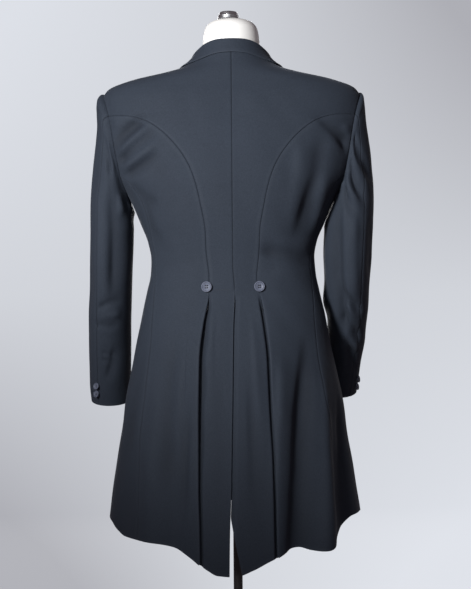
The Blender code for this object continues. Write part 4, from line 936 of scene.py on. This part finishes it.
def sleeve_rings(side, beta, at_head, at_arm):
    """Sleeve tube by armhole angle: a Hermite sweep out and over from the armhole, pushed to the
    head's own outline, then elliptic rings down the arm's path."""
    n = len(SLEEVE[side])
    table = np.column_stack([np.arange(n), SLEEVE[side]])
    fine = np.linspace(0, n - 1, 800)
    zf, yf = curve(table, 1)(fine), curve(table, 3)(fine)
    slope = np.arctan(np.gradient(yf) / np.gradient(zf))
    outward = np.array([side, 0.0, 0.0])

    def ring(q, cut, b):
        z, x, y, rx, ry = (curve(table, c)(q)[:, None] for c in range(1, 6))
        tilt = np.interp(q, fine, slope)[:, None]
        cb, sb = np.cos(b)[None], np.sin(b)[None]
        return np.stack([COAT_X + side * (x + (rx - cut) * cb), y + (ry - cut) * sb * np.cos(tilt),
                         z - 0.5 * (ry - cut) * sb * np.sin(tilt)], -1)

    def head(cut, b):
        edge, end = armhole(side, b), ring(np.zeros(1), cut, b)[0]
        a = skin(side, edge[:, 0], edge[:, 1])
        cb, sb = np.cos(b), np.sin(b)
        way = unit(np.stack([0 * cb, a[:, 1], a[:, 2] - ARM_Z], -1))
        turn, high = ease(-cb)[:, None], (1 + cb) / 2
        inward = unit(outward * turn - way * (1 - turn))
        start = a - outward * SEAM + inward * cut
        reach = (0.33 + 0.77 * high)[:, None]
        t0 = np.stack([side * (0.030 + 0.02 * high), 0.020 * sb, -0.10 + 0.06 * high], -1) * reach
        t1 = np.stack([0 * cb, 0 * cb, -(0.05 + 0.26 * high)], -1)
        s = at_head[:, None, None]
        return ((2 * s**3 - 3 * s**2 + 1) * start + (s**3 - 2 * s**2 + s) * t0
                + (3 * s**2 - 2 * s**3) * end + (s**3 - s**2) * t1)

    crest = head(0.0, np.zeros(1))[:, 0]
    push = curve(HEAD[side])(crest[:, 2]) - side * (crest[:, 0] - COAT_X)
    push = (push * ease(at_head / 0.04))[:, None] * ((1 + np.cos(beta)) / 2) ** 1.5
    return [np.concatenate([head(cut, beta) + push[..., None] * outward, ring(at_arm, cut, beta)])
            for cut in (0.0, CLOTH)]


def grid_normals(g):
    """Outward directions of a tube's grid: the cross product of its steps along and across."""
    n = unit(np.cross(np.gradient(g, axis=0), np.gradient(g, axis=1)))
    return n * np.sign((n * (g - g.mean(axis=1, keepdims=True))).sum(-1).mean())


def room_at_body(side, p):
    """Free distance from points of a sleeve to the body surface at the same height and angle."""
    across = p[..., 0] - COAT_X
    on = skin(side, np.abs(np.arctan2(side * across, p[..., 1])), t_of(p[..., 2]))
    return np.hypot(across, p[..., 1]) - np.hypot(on[..., 0] - COAT_X, on[..., 1])


def sleeve_cloth(side, name, beta):
    """Upper or under sleeve: a share of the tube between the fore-arm and hind-arm seams. A low
    rope stands at its crown, and under the arm it keeps clear of the body."""
    at_head = np.concatenate([[0, 0.004, 0.009, 0.016, 0.025, 0.037], np.linspace(0.05, 1, 40)])
    at_arm = np.concatenate([np.linspace(0, 7, 92)[1:-1], [6.96, 6.98, 6.99, 7.0]])
    outer, inner = sleeve_rings(side, beta, at_head, at_arm)
    n = grid_normals(outer)
    d, v = lengths(outer, 1), lengths(outer, 0)
    far, z = d[:, -1:] - d, outer[..., 2]
    chart = (ARM_CREASES[side], ARM_CHART * beta[None], z, ARM_CHART)
    whole_turns = (-2 * np.pi, 0.0, 2 * np.pi)
    ripple = sum(soft_lines(chart[0], chart[1] + turn * ARM_CHART, z, ARM_CHART)
                 for turn in whole_turns)
    soft = ease(v / 0.02) * (0.25 + 0.75 * ease((z - 0.85) / 0.03))
    crown = ((1 + np.cos(beta)) / 2) ** 6
    rope = 0.0020 * bell((v - 0.007) / 0.006) * ease(v / 0.005) * crown[None]
    lift = (ripple + drift(0.05 * beta[None] + side, z)) * soft + rope
    lift = lift + sewn(d, v, 0.9) + sewn(far, v, 0.9) - 0.0004 * bell(v / 0.0016)
    room = np.maximum(0.8 * room_at_body(side, outer) - HOLD_OFF, 0)
    lift = np.where(z < ARM_Z - ARM_HALF + 0.012, np.minimum(lift, room), lift)
    outer, inner = outer + n * lift[..., None], inner + n * lift[..., None]
    inset(outer, inner, cols=(0, len(beta) - 1))
    rub = 0.3 * pressed(d, far) + 0.6 * bell((v[-1:] - v) / EDGE_WEAR)
    # Painted shade in the sleeve's crease troughs and painted highlight on their ridges, at a lower
    # share than on the body.
    rub = rub + dark(d, far) + 0.6 * dark(v) + 0.6 * fold_painted_light(*chart, whole_turns)
    return cloth(name, outer, inner, rub)


class Wire:
    """A value in a material; sums and products of it add the Math nodes they need."""

    def __init__(self, finish, socket):
        self.finish, self.socket = finish, socket

    def _math(self, how, a, b=0.0):
        return self.finish.node("ShaderNodeMath", {"operation": how}, {0: a, 1: b})

    def __add__(self, o): return self._math("ADD", self, o)
    def __radd__(self, o): return self._math("ADD", o, self)
    def __sub__(self, o): return self._math("SUBTRACT", self, o)
    def __rsub__(self, o): return self._math("SUBTRACT", o, self)
    def __mul__(self, o): return self._math("MULTIPLY", self, o)
    def __rmul__(self, o): return self._math("MULTIPLY", o, self)
    def __truediv__(self, o): return self._math("DIVIDE", self, o)
    def __rtruediv__(self, o): return self._math("DIVIDE", o, self)
    def __pow__(self, o): return self._math("POWER", self, o)
    def sin(self): return self._math("SINE", self)
    def clip(self): return self.finish.node("ShaderNodeClamp", {}, {0: self})


class Finish:
    """A material and one way to add any node to it: its type, its settings, its inputs."""

    def __init__(self, name, **constants):
        self.material = bpy.data.materials.new(name)
        self.material.use_nodes = True
        self.tree = self.material.node_tree
        self.skin = self.tree.nodes["Principled BSDF"]
        for key, value in constants.items():
            self.skin.inputs[key.replace("_", " ")].default_value = value

    def node(self, kind, settings, inputs, output=0):
        made = self.tree.nodes.new(kind)
        for key, value in settings.items():
            if key == "stops":
                ramp = made.color_ramp
                while len(ramp.elements) < len(value):
                    ramp.elements.new(0.5)
                for element, (at, colour) in zip(ramp.elements, value):
                    element.position, element.color = at, colour
            else:
                setattr(made, key, value)
        for key, value in inputs.items():
            if isinstance(value, Wire):
                self.tree.links.new(value.socket, made.inputs[key])
            else:
                made.inputs[key].default_value = value
        return Wire(self, made.outputs[output])

    def object_place(self):
        return self.node("ShaderNodeTexCoord", {}, {}, 3)

    def noise(self, where, scale, detail=3.0, rough=0.55):
        return self.node("ShaderNodeTexNoise", {}, {"Vector": where, "Scale": scale,
                                                    "Detail": detail, "Roughness": rough})

    def tint(self, share, a, b, how="MIX"):
        """Colour between a and b by a share."""
        return self.node("ShaderNodeMix", {"data_type": "RGBA", "blend_type": how},
                         {0: share, 6: a, 7: b}, 2)

    def waves(self, along, spacing):
        """Sine wave from -1 to 1, one for each spacing."""
        return (along * (6.2832 / spacing)).sin()

    def bump(self, height, strength, distance=0.0002):
        return self.node("ShaderNodeBump", {}, {"Height": height, "Strength": strength,
                                                "Distance": distance})

    def wear(self, **wires):
        """Lead each wire to the shader's socket of that name."""
        for key, wire in wires.items():
            self.tree.links.new(wire.socket, self.skin.inputs[key.replace("_", " ")])
        return self.material


def rgba(r, g, b):
    """Opaque colour."""
    return (r, g, b, 1.0)


def wool():
    """Fine dark worsted: 45 degree twill on the grain of each piece, soft nap, pressed edges, and
    painted light: shade painted along seams, in crease troughs and under the pleats, highlight
    painted on crease ridges.
    """
    f = Finish("navy_worsted", Sheen_Weight=0.05, Sheen_Roughness=0.40,
               Sheen_Tint=rgba(0.62, 0.70, 0.86), Specular_IOR_Level=0.14)
    grain, at = f.node("ShaderNodeUVMap", {"uv_map": "grain"}, {}), f.object_place()
    u, v = (f.node("ShaderNodeSeparateXYZ", {}, {0: grain}, axis) for axis in (0, 1))
    # The point value holds wear and painted light: above zero the pressed edges and the painted
    # highlight on crease ridges, below zero the painted shade of seams, crease troughs and pleat
    # recesses.
    worn = f.node("ShaderNodeAttribute", {"attribute_name": "rub"}, {}, 2)
    rub, seam = worn.clip(), (worn * -1.0).clip()
    wander = f.noise(at, 90.0, 2.0)
    rib = ((u * 0.9 + v) * (6.2832 / GRAIN) + wander * 5.0).sin() * 0.5 + 0.5
    yarn = f.waves(v, YARN) * f.waves(u, YARN) * 0.5 + 0.5
    nap, fleck = f.noise(at, 900.0, 3.0, 0.7), f.noise(at, 420.0, 4.0, 0.65)
    cloud = f.noise(at, 7.0, 3.0, 0.5)
    shade = f.tint((fleck * 2.2 - 0.6).clip(), rgba(0.0120, 0.0162, 0.0240),
                   rgba(0.0215, 0.0282, 0.0405))
    shade = f.tint((cloud * 0.9 - 0.1).clip() * 0.45, shade, rgba(0.0245, 0.0310, 0.0440))
    shade = f.tint(rib * 0.22, shade, rgba(0.0085, 0.0115, 0.0180))
    # Paler where the cloth is pressed and where crease ridges carry a painted highlight.
    shade = f.tint(rub * 0.25, shade, rgba(0.0410, 0.0500, 0.0660))
    # Painted shade: near black along seams, in crease troughs and in the recesses under the pleats.
    shade = f.tint(seam * 0.75, shade, rgba(0.0030, 0.0034, 0.0050))
    rough = 0.80 - rub * 0.16 + (cloud - 0.5) * 0.14
    height = rib * 0.55 + yarn * 0.25 + nap * 0.9
    return f.wear(Base_Color=shade, Roughness=rough, Normal=f.bump(height, 0.34, 0.00035))


def horn():
    """Polished horn button: grey-blue with paler clouds and fine streaks, with painted shade in its
    dents.
    """
    f = Finish("grey_horn", Specular_IOR_Level=0.22, Coat_Roughness=0.30)
    at = f.object_place()
    rub = f.node("ShaderNodeAttribute", {"attribute_name": "rub"}, {}, 2).clip()
    cloud = f.noise(at, 160.0, 4.0, 0.6)
    streak = f.noise(f.node("ShaderNodeMapping", {}, {0: at, "Scale": (1.0, 1.0, 7.0)}), 320.0, 3.0)
    shade = f.tint(cloud, rgba(0.042, 0.050, 0.076), rgba(0.085, 0.097, 0.138))
    shade = f.tint((streak * 1.6 - 0.5).clip() * 0.4, shade, rgba(0.150, 0.165, 0.205))
    # Painted shade: the horn is painted darker in the hole dents and the turned groove.
    shade = f.tint(rub, rgba(0.012, 0.014, 0.020), shade)
    return f.wear(Base_Color=shade, Roughness=0.46 + streak * 0.16, Coat_Weight=rub * 0.04,
                  Normal=f.bump(streak, 0.10))


def thread():
    """Twisted sewing thread: dark, with slanting plies."""
    f = Finish("navy_thread", Sheen_Weight=0.2, Roughness=0.7)
    at = f.object_place()
    ply = f.noise(at, 1500.0, 2.0)
    return f.wear(Base_Color=f.tint(ply, rgba(0.004, 0.005, 0.008), rgba(0.011, 0.013, 0.019)),
                  Normal=f.bump(ply, 0.5))


def form_shell():
    """Smooth off-white shell with faint casting mottle and fine matt grain."""
    f = Finish("pale_shell", Specular_IOR_Level=0.4)
    at = f.object_place()
    mottle, grain = f.noise(at, 14.0, 4.0), f.noise(at, 700.0, 2.0)
    return f.wear(Base_Color=f.tint(mottle, rgba(0.56, 0.56, 0.55), rgba(0.66, 0.66, 0.65)),
                  Roughness=0.42 + grain * 0.2, Normal=f.bump(grain, 0.12, 0.0004))


def turned_metal():
    """Turned metal: fine rings cut across the axis, and a little tarnish."""
    f = Finish("turned_metal", Metallic=1.0)
    at = f.object_place()
    z = f.node("ShaderNodeSeparateXYZ", {}, {0: at}, 2)
    ring, tarnish = f.waves(z, 0.0006) * 0.5 + 0.5, f.noise(at, 120.0, 4.0)
    return f.wear(Base_Color=f.tint(tarnish, rgba(0.36, 0.37, 0.39), rgba(0.60, 0.61, 0.63)),
                  Roughness=0.24 + tarnish * 0.2,
                  Normal=f.bump(ring * 0.4 + tarnish * 0.6, 0.25))


def black_paint():
    """Powder-painted steel: near black, fine orange peel, dustier patches."""
    f = Finish("black_paint", Specular_IOR_Level=0.45)
    at = f.object_place()
    peel, dust = f.noise(at, 650.0, 2.0), f.noise(at, 9.0, 5.0, 0.6)
    shade = f.tint((dust * 1.8 - 0.5).clip(), rgba(0.014, 0.013, 0.014), rgba(0.034, 0.032, 0.033))
    return f.wear(Base_Color=shade, Roughness=0.36 + dust * 0.18, Normal=f.bump(peel, 0.30))


WOOL, HORN, THREAD = wool(), horn(), thread()
SHELL, METAL, PAINT = form_shell(), turned_metal(), black_paint()


def ring_quads(n, seg):
    """Point numbers of n stacked rings, the same one step on, and the quads between rings."""
    idx = np.arange(n * seg).reshape(n, seg)
    nxt = np.roll(idx, -1, 1)
    return idx, nxt, np.stack([idx[:-1], nxt[:-1], nxt[1:], idx[1:]], -1).reshape(-1, 4)


def closed_rings(n, seg):
    """Faces of stacked rings, fanned to one more point at either end."""
    idx, nxt, quads = ring_quads(n, seg)
    low = np.stack([np.full(seg, n * seg), nxt[0], idx[0]], 1)
    high = np.stack([np.full(seg, n * seg + 1), idx[-1], nxt[-1]], 1)
    return quads.tolist() + low.tolist() + high.tolist()


def revolved(name, rings, centre, material, node, ends):
    """Rings of points stacked upwards, joined into a closed skin with a point at either end."""
    tips = [[[0, 0, end]] for end in ends]
    verts = np.concatenate([rings.reshape(-1, 3), *tips]) + np.asarray(centre)
    obj = mesh_object(name, verts, closed_rings(*rings.shape[:2]), sharp=50)
    return dressed(obj, material, node)


def turned(name, profile, centre, material, seg, node):
    """Turned piece: a profile of radius and height carried round the axis, closed on it."""
    ang = np.linspace(0, 2 * np.pi, seg, endpoint=False)
    r, h = profile[:, :1], profile[:, 1:]
    rings = np.stack([r * np.cos(ang), r * np.sin(ang), h + 0 * ang], -1)
    return revolved(name, rings, centre, material, node, (h[0, 0], h[-1, 0]))


def rounded(profile, radius=0.0006, turns=4):
    """Profile whose corners are cut into short arcs (quadratic curves through each corner)."""
    p = np.asarray(profile, float)
    out = [p[:1]]
    s = np.linspace(0, 1, turns + 1)[:, None]
    for a, b, c in zip(p[:-2], p[1:-1], p[2:]):
        la, lc = np.linalg.norm(a - b), np.linalg.norm(c - b)
        r = min(radius, 0.45 * la, 0.45 * lc)
        start, end = b + (a - b) * r / la, b + (c - b) * r / lc
        out.append((1 - s) ** 2 * start + 2 * s * (1 - s) * b + s ** 2 * end)
    return np.concatenate(out + [p[-1:]])


def dress_form():
    """Torso and neck: superellipse sections through a table, closed at both ends."""
    table = np.array(FORM)
    z = np.unique(np.concatenate([np.linspace(0.897, 0.9105, 8), np.linspace(0.91, 1.44, 60),
                                  np.linspace(1.44, 1.566, 70)]))
    ang = np.linspace(0, 2 * np.pi, 96, endpoint=False)
    snug = 0.0014 * ease((1.495 - z) / 0.02)
    a, bb, bf = (curve(table, c)(z)[:, None] - snug[:, None] for c in (1, 2, 3))
    k = np.interp(z, [0.9, 1.38, 1.46, 1.5], [2.3, 2.3, 2.1, 2.0])[:, None]
    b = np.where(np.cos(ang) >= 0, bb, bf)
    r = ((np.abs(np.sin(ang)) / a) ** k + (np.abs(np.cos(ang)) / b) ** k) ** (-1 / k)
    body = np.stack([-r * np.sin(ang), r * np.cos(ang), z[:, None] + 0 * r], -1)
    return revolved("form_shell", body, (COAT_X, 0, 0), SHELL, "dress_form", (0.897, 1.567))


def stand():
    """Neck cap with turned rings, pole, and a round base plate with eased edges."""
    top, foot = FORM[-1][0] + 0.0013, FORM[0][0]
    cap = [(0.0200, 0), (0.0215, 0.0008), (0.0215, 0.0022), (0.0198, 0.0030), (0.0198, 0.0042),
           (0.0206, 0.0055), (0.0206, 0.0073), (0.0186, 0.0086), (0.0176, 0.0122), (0.0160, 0.0140)]
    turned("neck_cap_turned", rounded([(r, h + top) for r, h in cap], 0.0007),
           (COAT_X + 0.005, 0, 0), METAL, 72, "neck_cap")
    tube = [(POLE_R - 0.0006, BASE_T + 0.0003), (POLE_R, BASE_T + 0.0010), (POLE_R, 0.40),
            (POLE_R, 0.70), (POLE_R, foot - 0.0010), (POLE_R - 0.0006, foot - 0.0003)]
    turned("pole_tube", rounded(tube), (0, 0, 0), PAINT, 48, "pole")
    plate = [(BASE_R - 0.003, 0.0), (BASE_R, 0.003), (BASE_R, 0.006), (BASE_R - 0.004, 0.009),
             (0.120, BASE_T - 0.0005), (0.030, BASE_T)]
    turned("base_plate", rounded(plate, 0.0025), (0, 0, 0), PAINT, 128, "base")


def tube_points(path, radius, seg=7):
    """Thin round thread along a path: circles square to it, closed at both ends."""
    path = np.asarray(path, float)
    tang = unit(np.gradient(path, axis=0))
    ref = np.where(np.abs(tang[:, 2:]) > 0.9, [[1.0, 0, 0]], [[0, 0, 1.0]])
    n1 = unit(np.cross(tang, ref))
    n2 = np.cross(tang, n1)
    ang = np.linspace(0, 2 * np.pi, seg, endpoint=False)
    size = radius * np.concatenate([[0.35], np.ones(len(path) - 2), [0.35]])
    ring = path[:, None] + size[:, None, None] * (np.cos(ang)[None, :, None] * n1[:, None]
                                                  + np.sin(ang)[None, :, None] * n2[:, None])
    idx, _, faces = ring_quads(len(path), seg)
    caps = [idx[0].tolist(), idx[-1][::-1].tolist()]
    return ring.reshape(-1, 3), faces[:, ::-1].tolist() + caps


def stitches(name, parts):
    """One thread piece from many small meshes."""
    verts, faces, n = [], [], 0
    for v, f in parts:
        verts.append(v)
        faces += [[i + n for i in face] for face in f]
        n += len(v)
    return dressed(mesh_object(name, np.concatenate(verts), faces, sharp=60), THREAD)


def button(name, at, out, radius, thick):
    """Sewn button: rings of points over a dished profile with a rolled rim, a turned groove and
    four dents for holes; two bars of thread are a piece of their own."""
    out = unit(out)
    right = unit(np.cross([0.0, 0.0, 1.0], out))
    up = np.cross(out, right)
    prof = rounded([(0.70, 0.0), (0.94, 0.12), (1.0, 0.42), (0.965, 0.84), (0.89, 1.0),
                    (0.80, 0.95), (0.755, 0.74), (0.72, 0.72), (0.69, 0.80), (0.66, 0.79),
                    (0.45, 0.60), (0.30, 0.52), (0.06, 0.50)], 0.05, 3)
    share, high = prof[:, 0], prof[:, 1] * thick
    face = np.linspace(0.62, 0.06, 26)
    outside = share > 0.66
    s = np.concatenate([share[outside], face])
    h = np.concatenate([high[outside], np.interp(face, share[::-1][:-4], high[::-1][:-4])])
    ang = np.linspace(0, 2 * np.pi, 64, endpoint=False)
    x, y = radius * s[:, None] * np.cos(ang), radius * s[:, None] * np.sin(ang)
    apart, wide = 0.19 * radius, 0.115 * radius
    hole = sum(np.clip(1 - ((x - cx * apart) ** 2 + (y - cy * apart) ** 2) / wide ** 2, 0, 1) ** 0.35
               for cx in (1, -1) for cy in (1, -1))
    hole = np.clip(hole, 0, 1) * (s < 0.66)[:, None]
    rise = h[:, None] - hole * thick * 0.42
    points = at + x[..., None] * right + y[..., None] * up + rise[..., None] * out
    verts = np.concatenate([points.reshape(-1, 3), [at, at + out * h[-1]]])
    groove = 0.75 * bell((s - 0.735) / 0.022)[:, None]
    # The point value falls from 1 on the face to 0 in the hole dents and the groove, where the horn
    # gets painted shade.
    rub = np.concatenate([(1 - np.clip(hole * 0.95 + groove, 0, 1)).ravel(), [1.0, 1.0]])
    obj = mesh_object(name + "_horn", verts, closed_rings(len(s), len(ang)), rub=rub, sharp=55)
    dressed(obj, HORN, name)
    bars, run = [], np.linspace(-1, 1, 9)
    lift = thick * (0.54 + 0.10 * (1 - run ** 2) - 0.16 * np.abs(run) ** 6)
    for level in (-0.226, -0.154, 0.154, 0.226):
        path = (at + (run * 0.20 * radius)[:, None] * right + level * radius * up
                + lift[:, None] * out)
        bars.append(tube_points(path, 0.030 * radius))
    stitches(name + "_thread", bars)


def buttons():
    """Seats of all buttons: at the pleat tops, on the outside of each cuff, down the front."""
    for side, tag in SIDES:
        z = np.array(1.046)
        ph, t = angle(z, np.array(0.0495)), t_of(z)
        button("waist_button_" + tag, place(side, ph, t, 0.0008), normal(side, ph, t), 0.0103, 0.0042)
        rows, beta = np.array(SLEEVE[side]), np.radians(55 if side > 0 else 30)
        cb, sb = np.cos(beta), np.sin(beta)
        for word, z in (("upper", 0.868), ("lower", 0.852)):
            x, y, rx, ry = (np.interp(z, rows[::-1, 0], rows[::-1, c]) for c in (1, 2, 3, 4))
            n = unit(np.array([side * cb / rx, sb / ry, 0.30 / ry * sb]))
            at = np.array([COAT_X + side * (x + rx * cb), y + ry * sb * 0.9, z - 0.4 * ry * sb])
            button(f"cuff_button_{tag}_{word}", at + n * 0.0006, n, 0.0070, 0.0032)
    for word, z in FRONT_BUTTONS.items():
        ph, t, seat = np.array(np.pi), t_of(z), 0.0017 if word == "top" else 0.0005
        button("front_button_" + word, place(1, ph, t, seat), normal(1, ph, t), 0.0108, 0.0042)


def bar_tack():
    """Short row of stitches that holds the top of the vent, across the left back."""
    marks = np.linspace(0.0012, 0.0335, 12)
    arch, parts = 0.00035 * (1 - np.linspace(-1, 1, 6) ** 2) - 0.00005, []
    for a, b in zip(marks[:-1], marks[1:]):
        x = np.linspace(a + 0.0003, b - 0.0003, 6)
        z = np.full(6, 1.0400)
        parts.append(tube_points(place(1, angle(z, x), t_of(z), arch), 0.00028, 6))
    stitches("vent_tack", parts)


def buttonholes():
    """Worked buttonhole beside each front button: a long narrow loop of close stitching."""
    turn = np.linspace(0, 2 * np.pi, 49)
    x = 0.0045 + 0.0125 * np.sign(np.cos(turn)) * np.abs(np.cos(turn)) ** 0.6
    for word, z in FRONT_BUTTONS.items():
        loop = place(1, np.pi + x / DEEP_FRONT(z), t_of(z + 0.0011 * np.sin(turn)), 0.00045)
        stitches(f"buttonhole_{word}", [tube_points(loop, 0.00055)])


def spread(a, b, n=60):
    """Angles from a to b, closer at both ends."""
    return a + (b - a) * columns(n)


def cut_pieces():
    """All cloth pieces by the name of the node that each stands for."""
    made = {"collar": collar_cloth()}
    for side, tag in SIDES:
        for word, make in (("back", back_cloth), ("side", side_cloth), ("front", front_cloth),
                           ("lapel", lapel_cloth)):
            made[f"{word}_{tag}"] = make(side, f"{word}_{tag}_cloth")
        for word, span in (("upper_sleeve", spread(B_FORE - 2 * np.pi, B_BACK)),
                           ("under_sleeve", spread(B_BACK, B_FORE))):
            made[f"{word}_{tag}"] = sleeve_cloth(side, f"{word}_{tag}_cloth", span)
    for node, obj in made.items():
        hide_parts(node)
    return made


def declare(pieces):
    """Split each cloth's node name into its word and side; nothing else is done with them."""
    for node, obj in pieces.items():
        word, _, tag = node.rpartition("_") if node != "collar" else (node, "", "")


def backdrop():
    """Pale floor that curves up into a wall all round: a quarter circle between two straights,
    turned about the axis. It glows a little by itself and throws no light on the coat."""
    f = Finish("pale_backdrop", Base_Color=rgba(0.02, 0.02, 0.02), Roughness=0.9,
               Specular_IOR_Level=0.0, Emission_Strength=1.0)
    at = f.object_place()
    x, z = (f.node("ShaderNodeSeparateXYZ", {}, {0: at}, axis) for axis in (0, 2))
    far = f.node("ShaderNodeVectorMath", {"operation": "LENGTH"}, {0: at}, 1) + 2.0
    # Painted light: the backdrop's glow is a saddle-shaped gradient, brighter on one side and darker
    # on the other, standing in for the fall-off of studio light.
    share = (x * (z - 1.03) * 15.0 / (far * far) + 0.5).clip()
    stops = [(0.0, rgba(0.420, 0.425, 0.462)), (0.5, rgba(0.632, 0.652, 0.698)),
             (1.0, rgba(0.722, 0.747, 0.802))]
    f.wear(Emission_Color=f.node("ShaderNodeValToRGB", {"stops": stops}, {0: share}))
    bend = np.radians(np.linspace(0, 90, 28))
    r = np.concatenate([[0.01, 1.0, 2.5], 4.2 + 3.3 * np.sin(bend), [7.5]])
    h = np.concatenate([[0.0, 0.0, 0.0], 3.3 - 3.3 * np.cos(bend), [6.5]]) - 0.0005
    ang = np.linspace(0, 2 * np.pi, 96, endpoint=False)
    r, h = r[:, None], h[:, None]
    rings = np.stack([r * np.cos(ang), r * np.sin(ang), h + 0 * ang], -1)
    idx, _, quads = ring_quads(len(r), 96)
    floor = mesh_object("studio_floor", rings.reshape(-1, 3),
                        quads[:, ::-1].tolist() + [idx[0].tolist()])
    floor.data.materials.append(f.material)
    floor.visible_diffuse = floor.visible_glossy = floor.visible_shadow = False


def light(name, kind, at, aim, power, colour, **sizes):
    """Lamp at a place, turned towards its aim."""
    lamp = bpy.data.lights.new(name, kind)
    lamp.energy, lamp.color = power, colour
    for key, value in sizes.items():
        setattr(lamp, key, value)
    obj = bpy.data.objects.new(name, lamp)
    away = unit(np.array(at, float) - np.array(aim, float))
    right = unit(np.cross([0, 0, 1.0], away))
    rows = np.column_stack([right, np.cross(away, right), away, at])
    obj.matrix_world = Matrix([*rows.tolist(), [0, 0, 0, 1]])
    bpy.context.scene.collection.objects.link(obj)


def stage():
    """Backdrop, lights and camera."""
    scene = bpy.context.scene
    backdrop()
    light("key", "SPOT", (1.20, 2.17, 1.66), (-0.03, 0.10, 1.32), 548.0, (1.0, 0.995, 0.985),
          shadow_soft_size=0.26, spot_size=np.radians(38.5), spot_blend=1.0)
    light("broad", "AREA", (0.3, 3.0, 2.0), (0.0, 0.0, 1.2), 12.0, (0.94, 0.97, 1.0),
          shape="SQUARE", size=1.4)
    light("front_soft", "AREA", (0.3, -3.4, 1.7), (0.0, 0.0, 1.0), 100.0, (1.0, 0.99, 0.98),
          shape="SQUARE", size=2.2)
    light("side_soft", "AREA", (-2.3, -2.9, 1.7), (0.0, 0.0, 1.0), 14.0, (0.98, 0.99, 1.0),
          shape="SQUARE", size=2.0)
    world = bpy.data.worlds.new("studio")
    world.use_nodes = True
    sky = world.node_tree.nodes["Background"]
    sky.inputs[0].default_value, sky.inputs[1].default_value = rgba(1.0, 0.80, 0.87), 0.14
    scene.world = world
    scene.view_settings.view_transform = "Standard"
    camera = bpy.data.cameras.new("camera")
    camera.lens, camera.sensor_width = 81.5, 36.0
    camera.clip_start, camera.clip_end = 0.05, 60.0
    obj = bpy.data.objects.new("camera", camera)
    roll = np.radians(0.475)
    c, s = float(np.cos(roll)), float(np.sin(roll))
    obj.matrix_world = Matrix([(-c, -s, 0, 0.0006), (0, 0, 1, 2.6), (-s, c, 0, 1.0312), (0, 0, 0, 1)])
    scene.collection.objects.link(obj)
    scene.camera = obj


cloths = cut_pieces()
buttons()
bar_tack()
buttonholes()
dress_form()
stand()
declare(cloths)
stage()
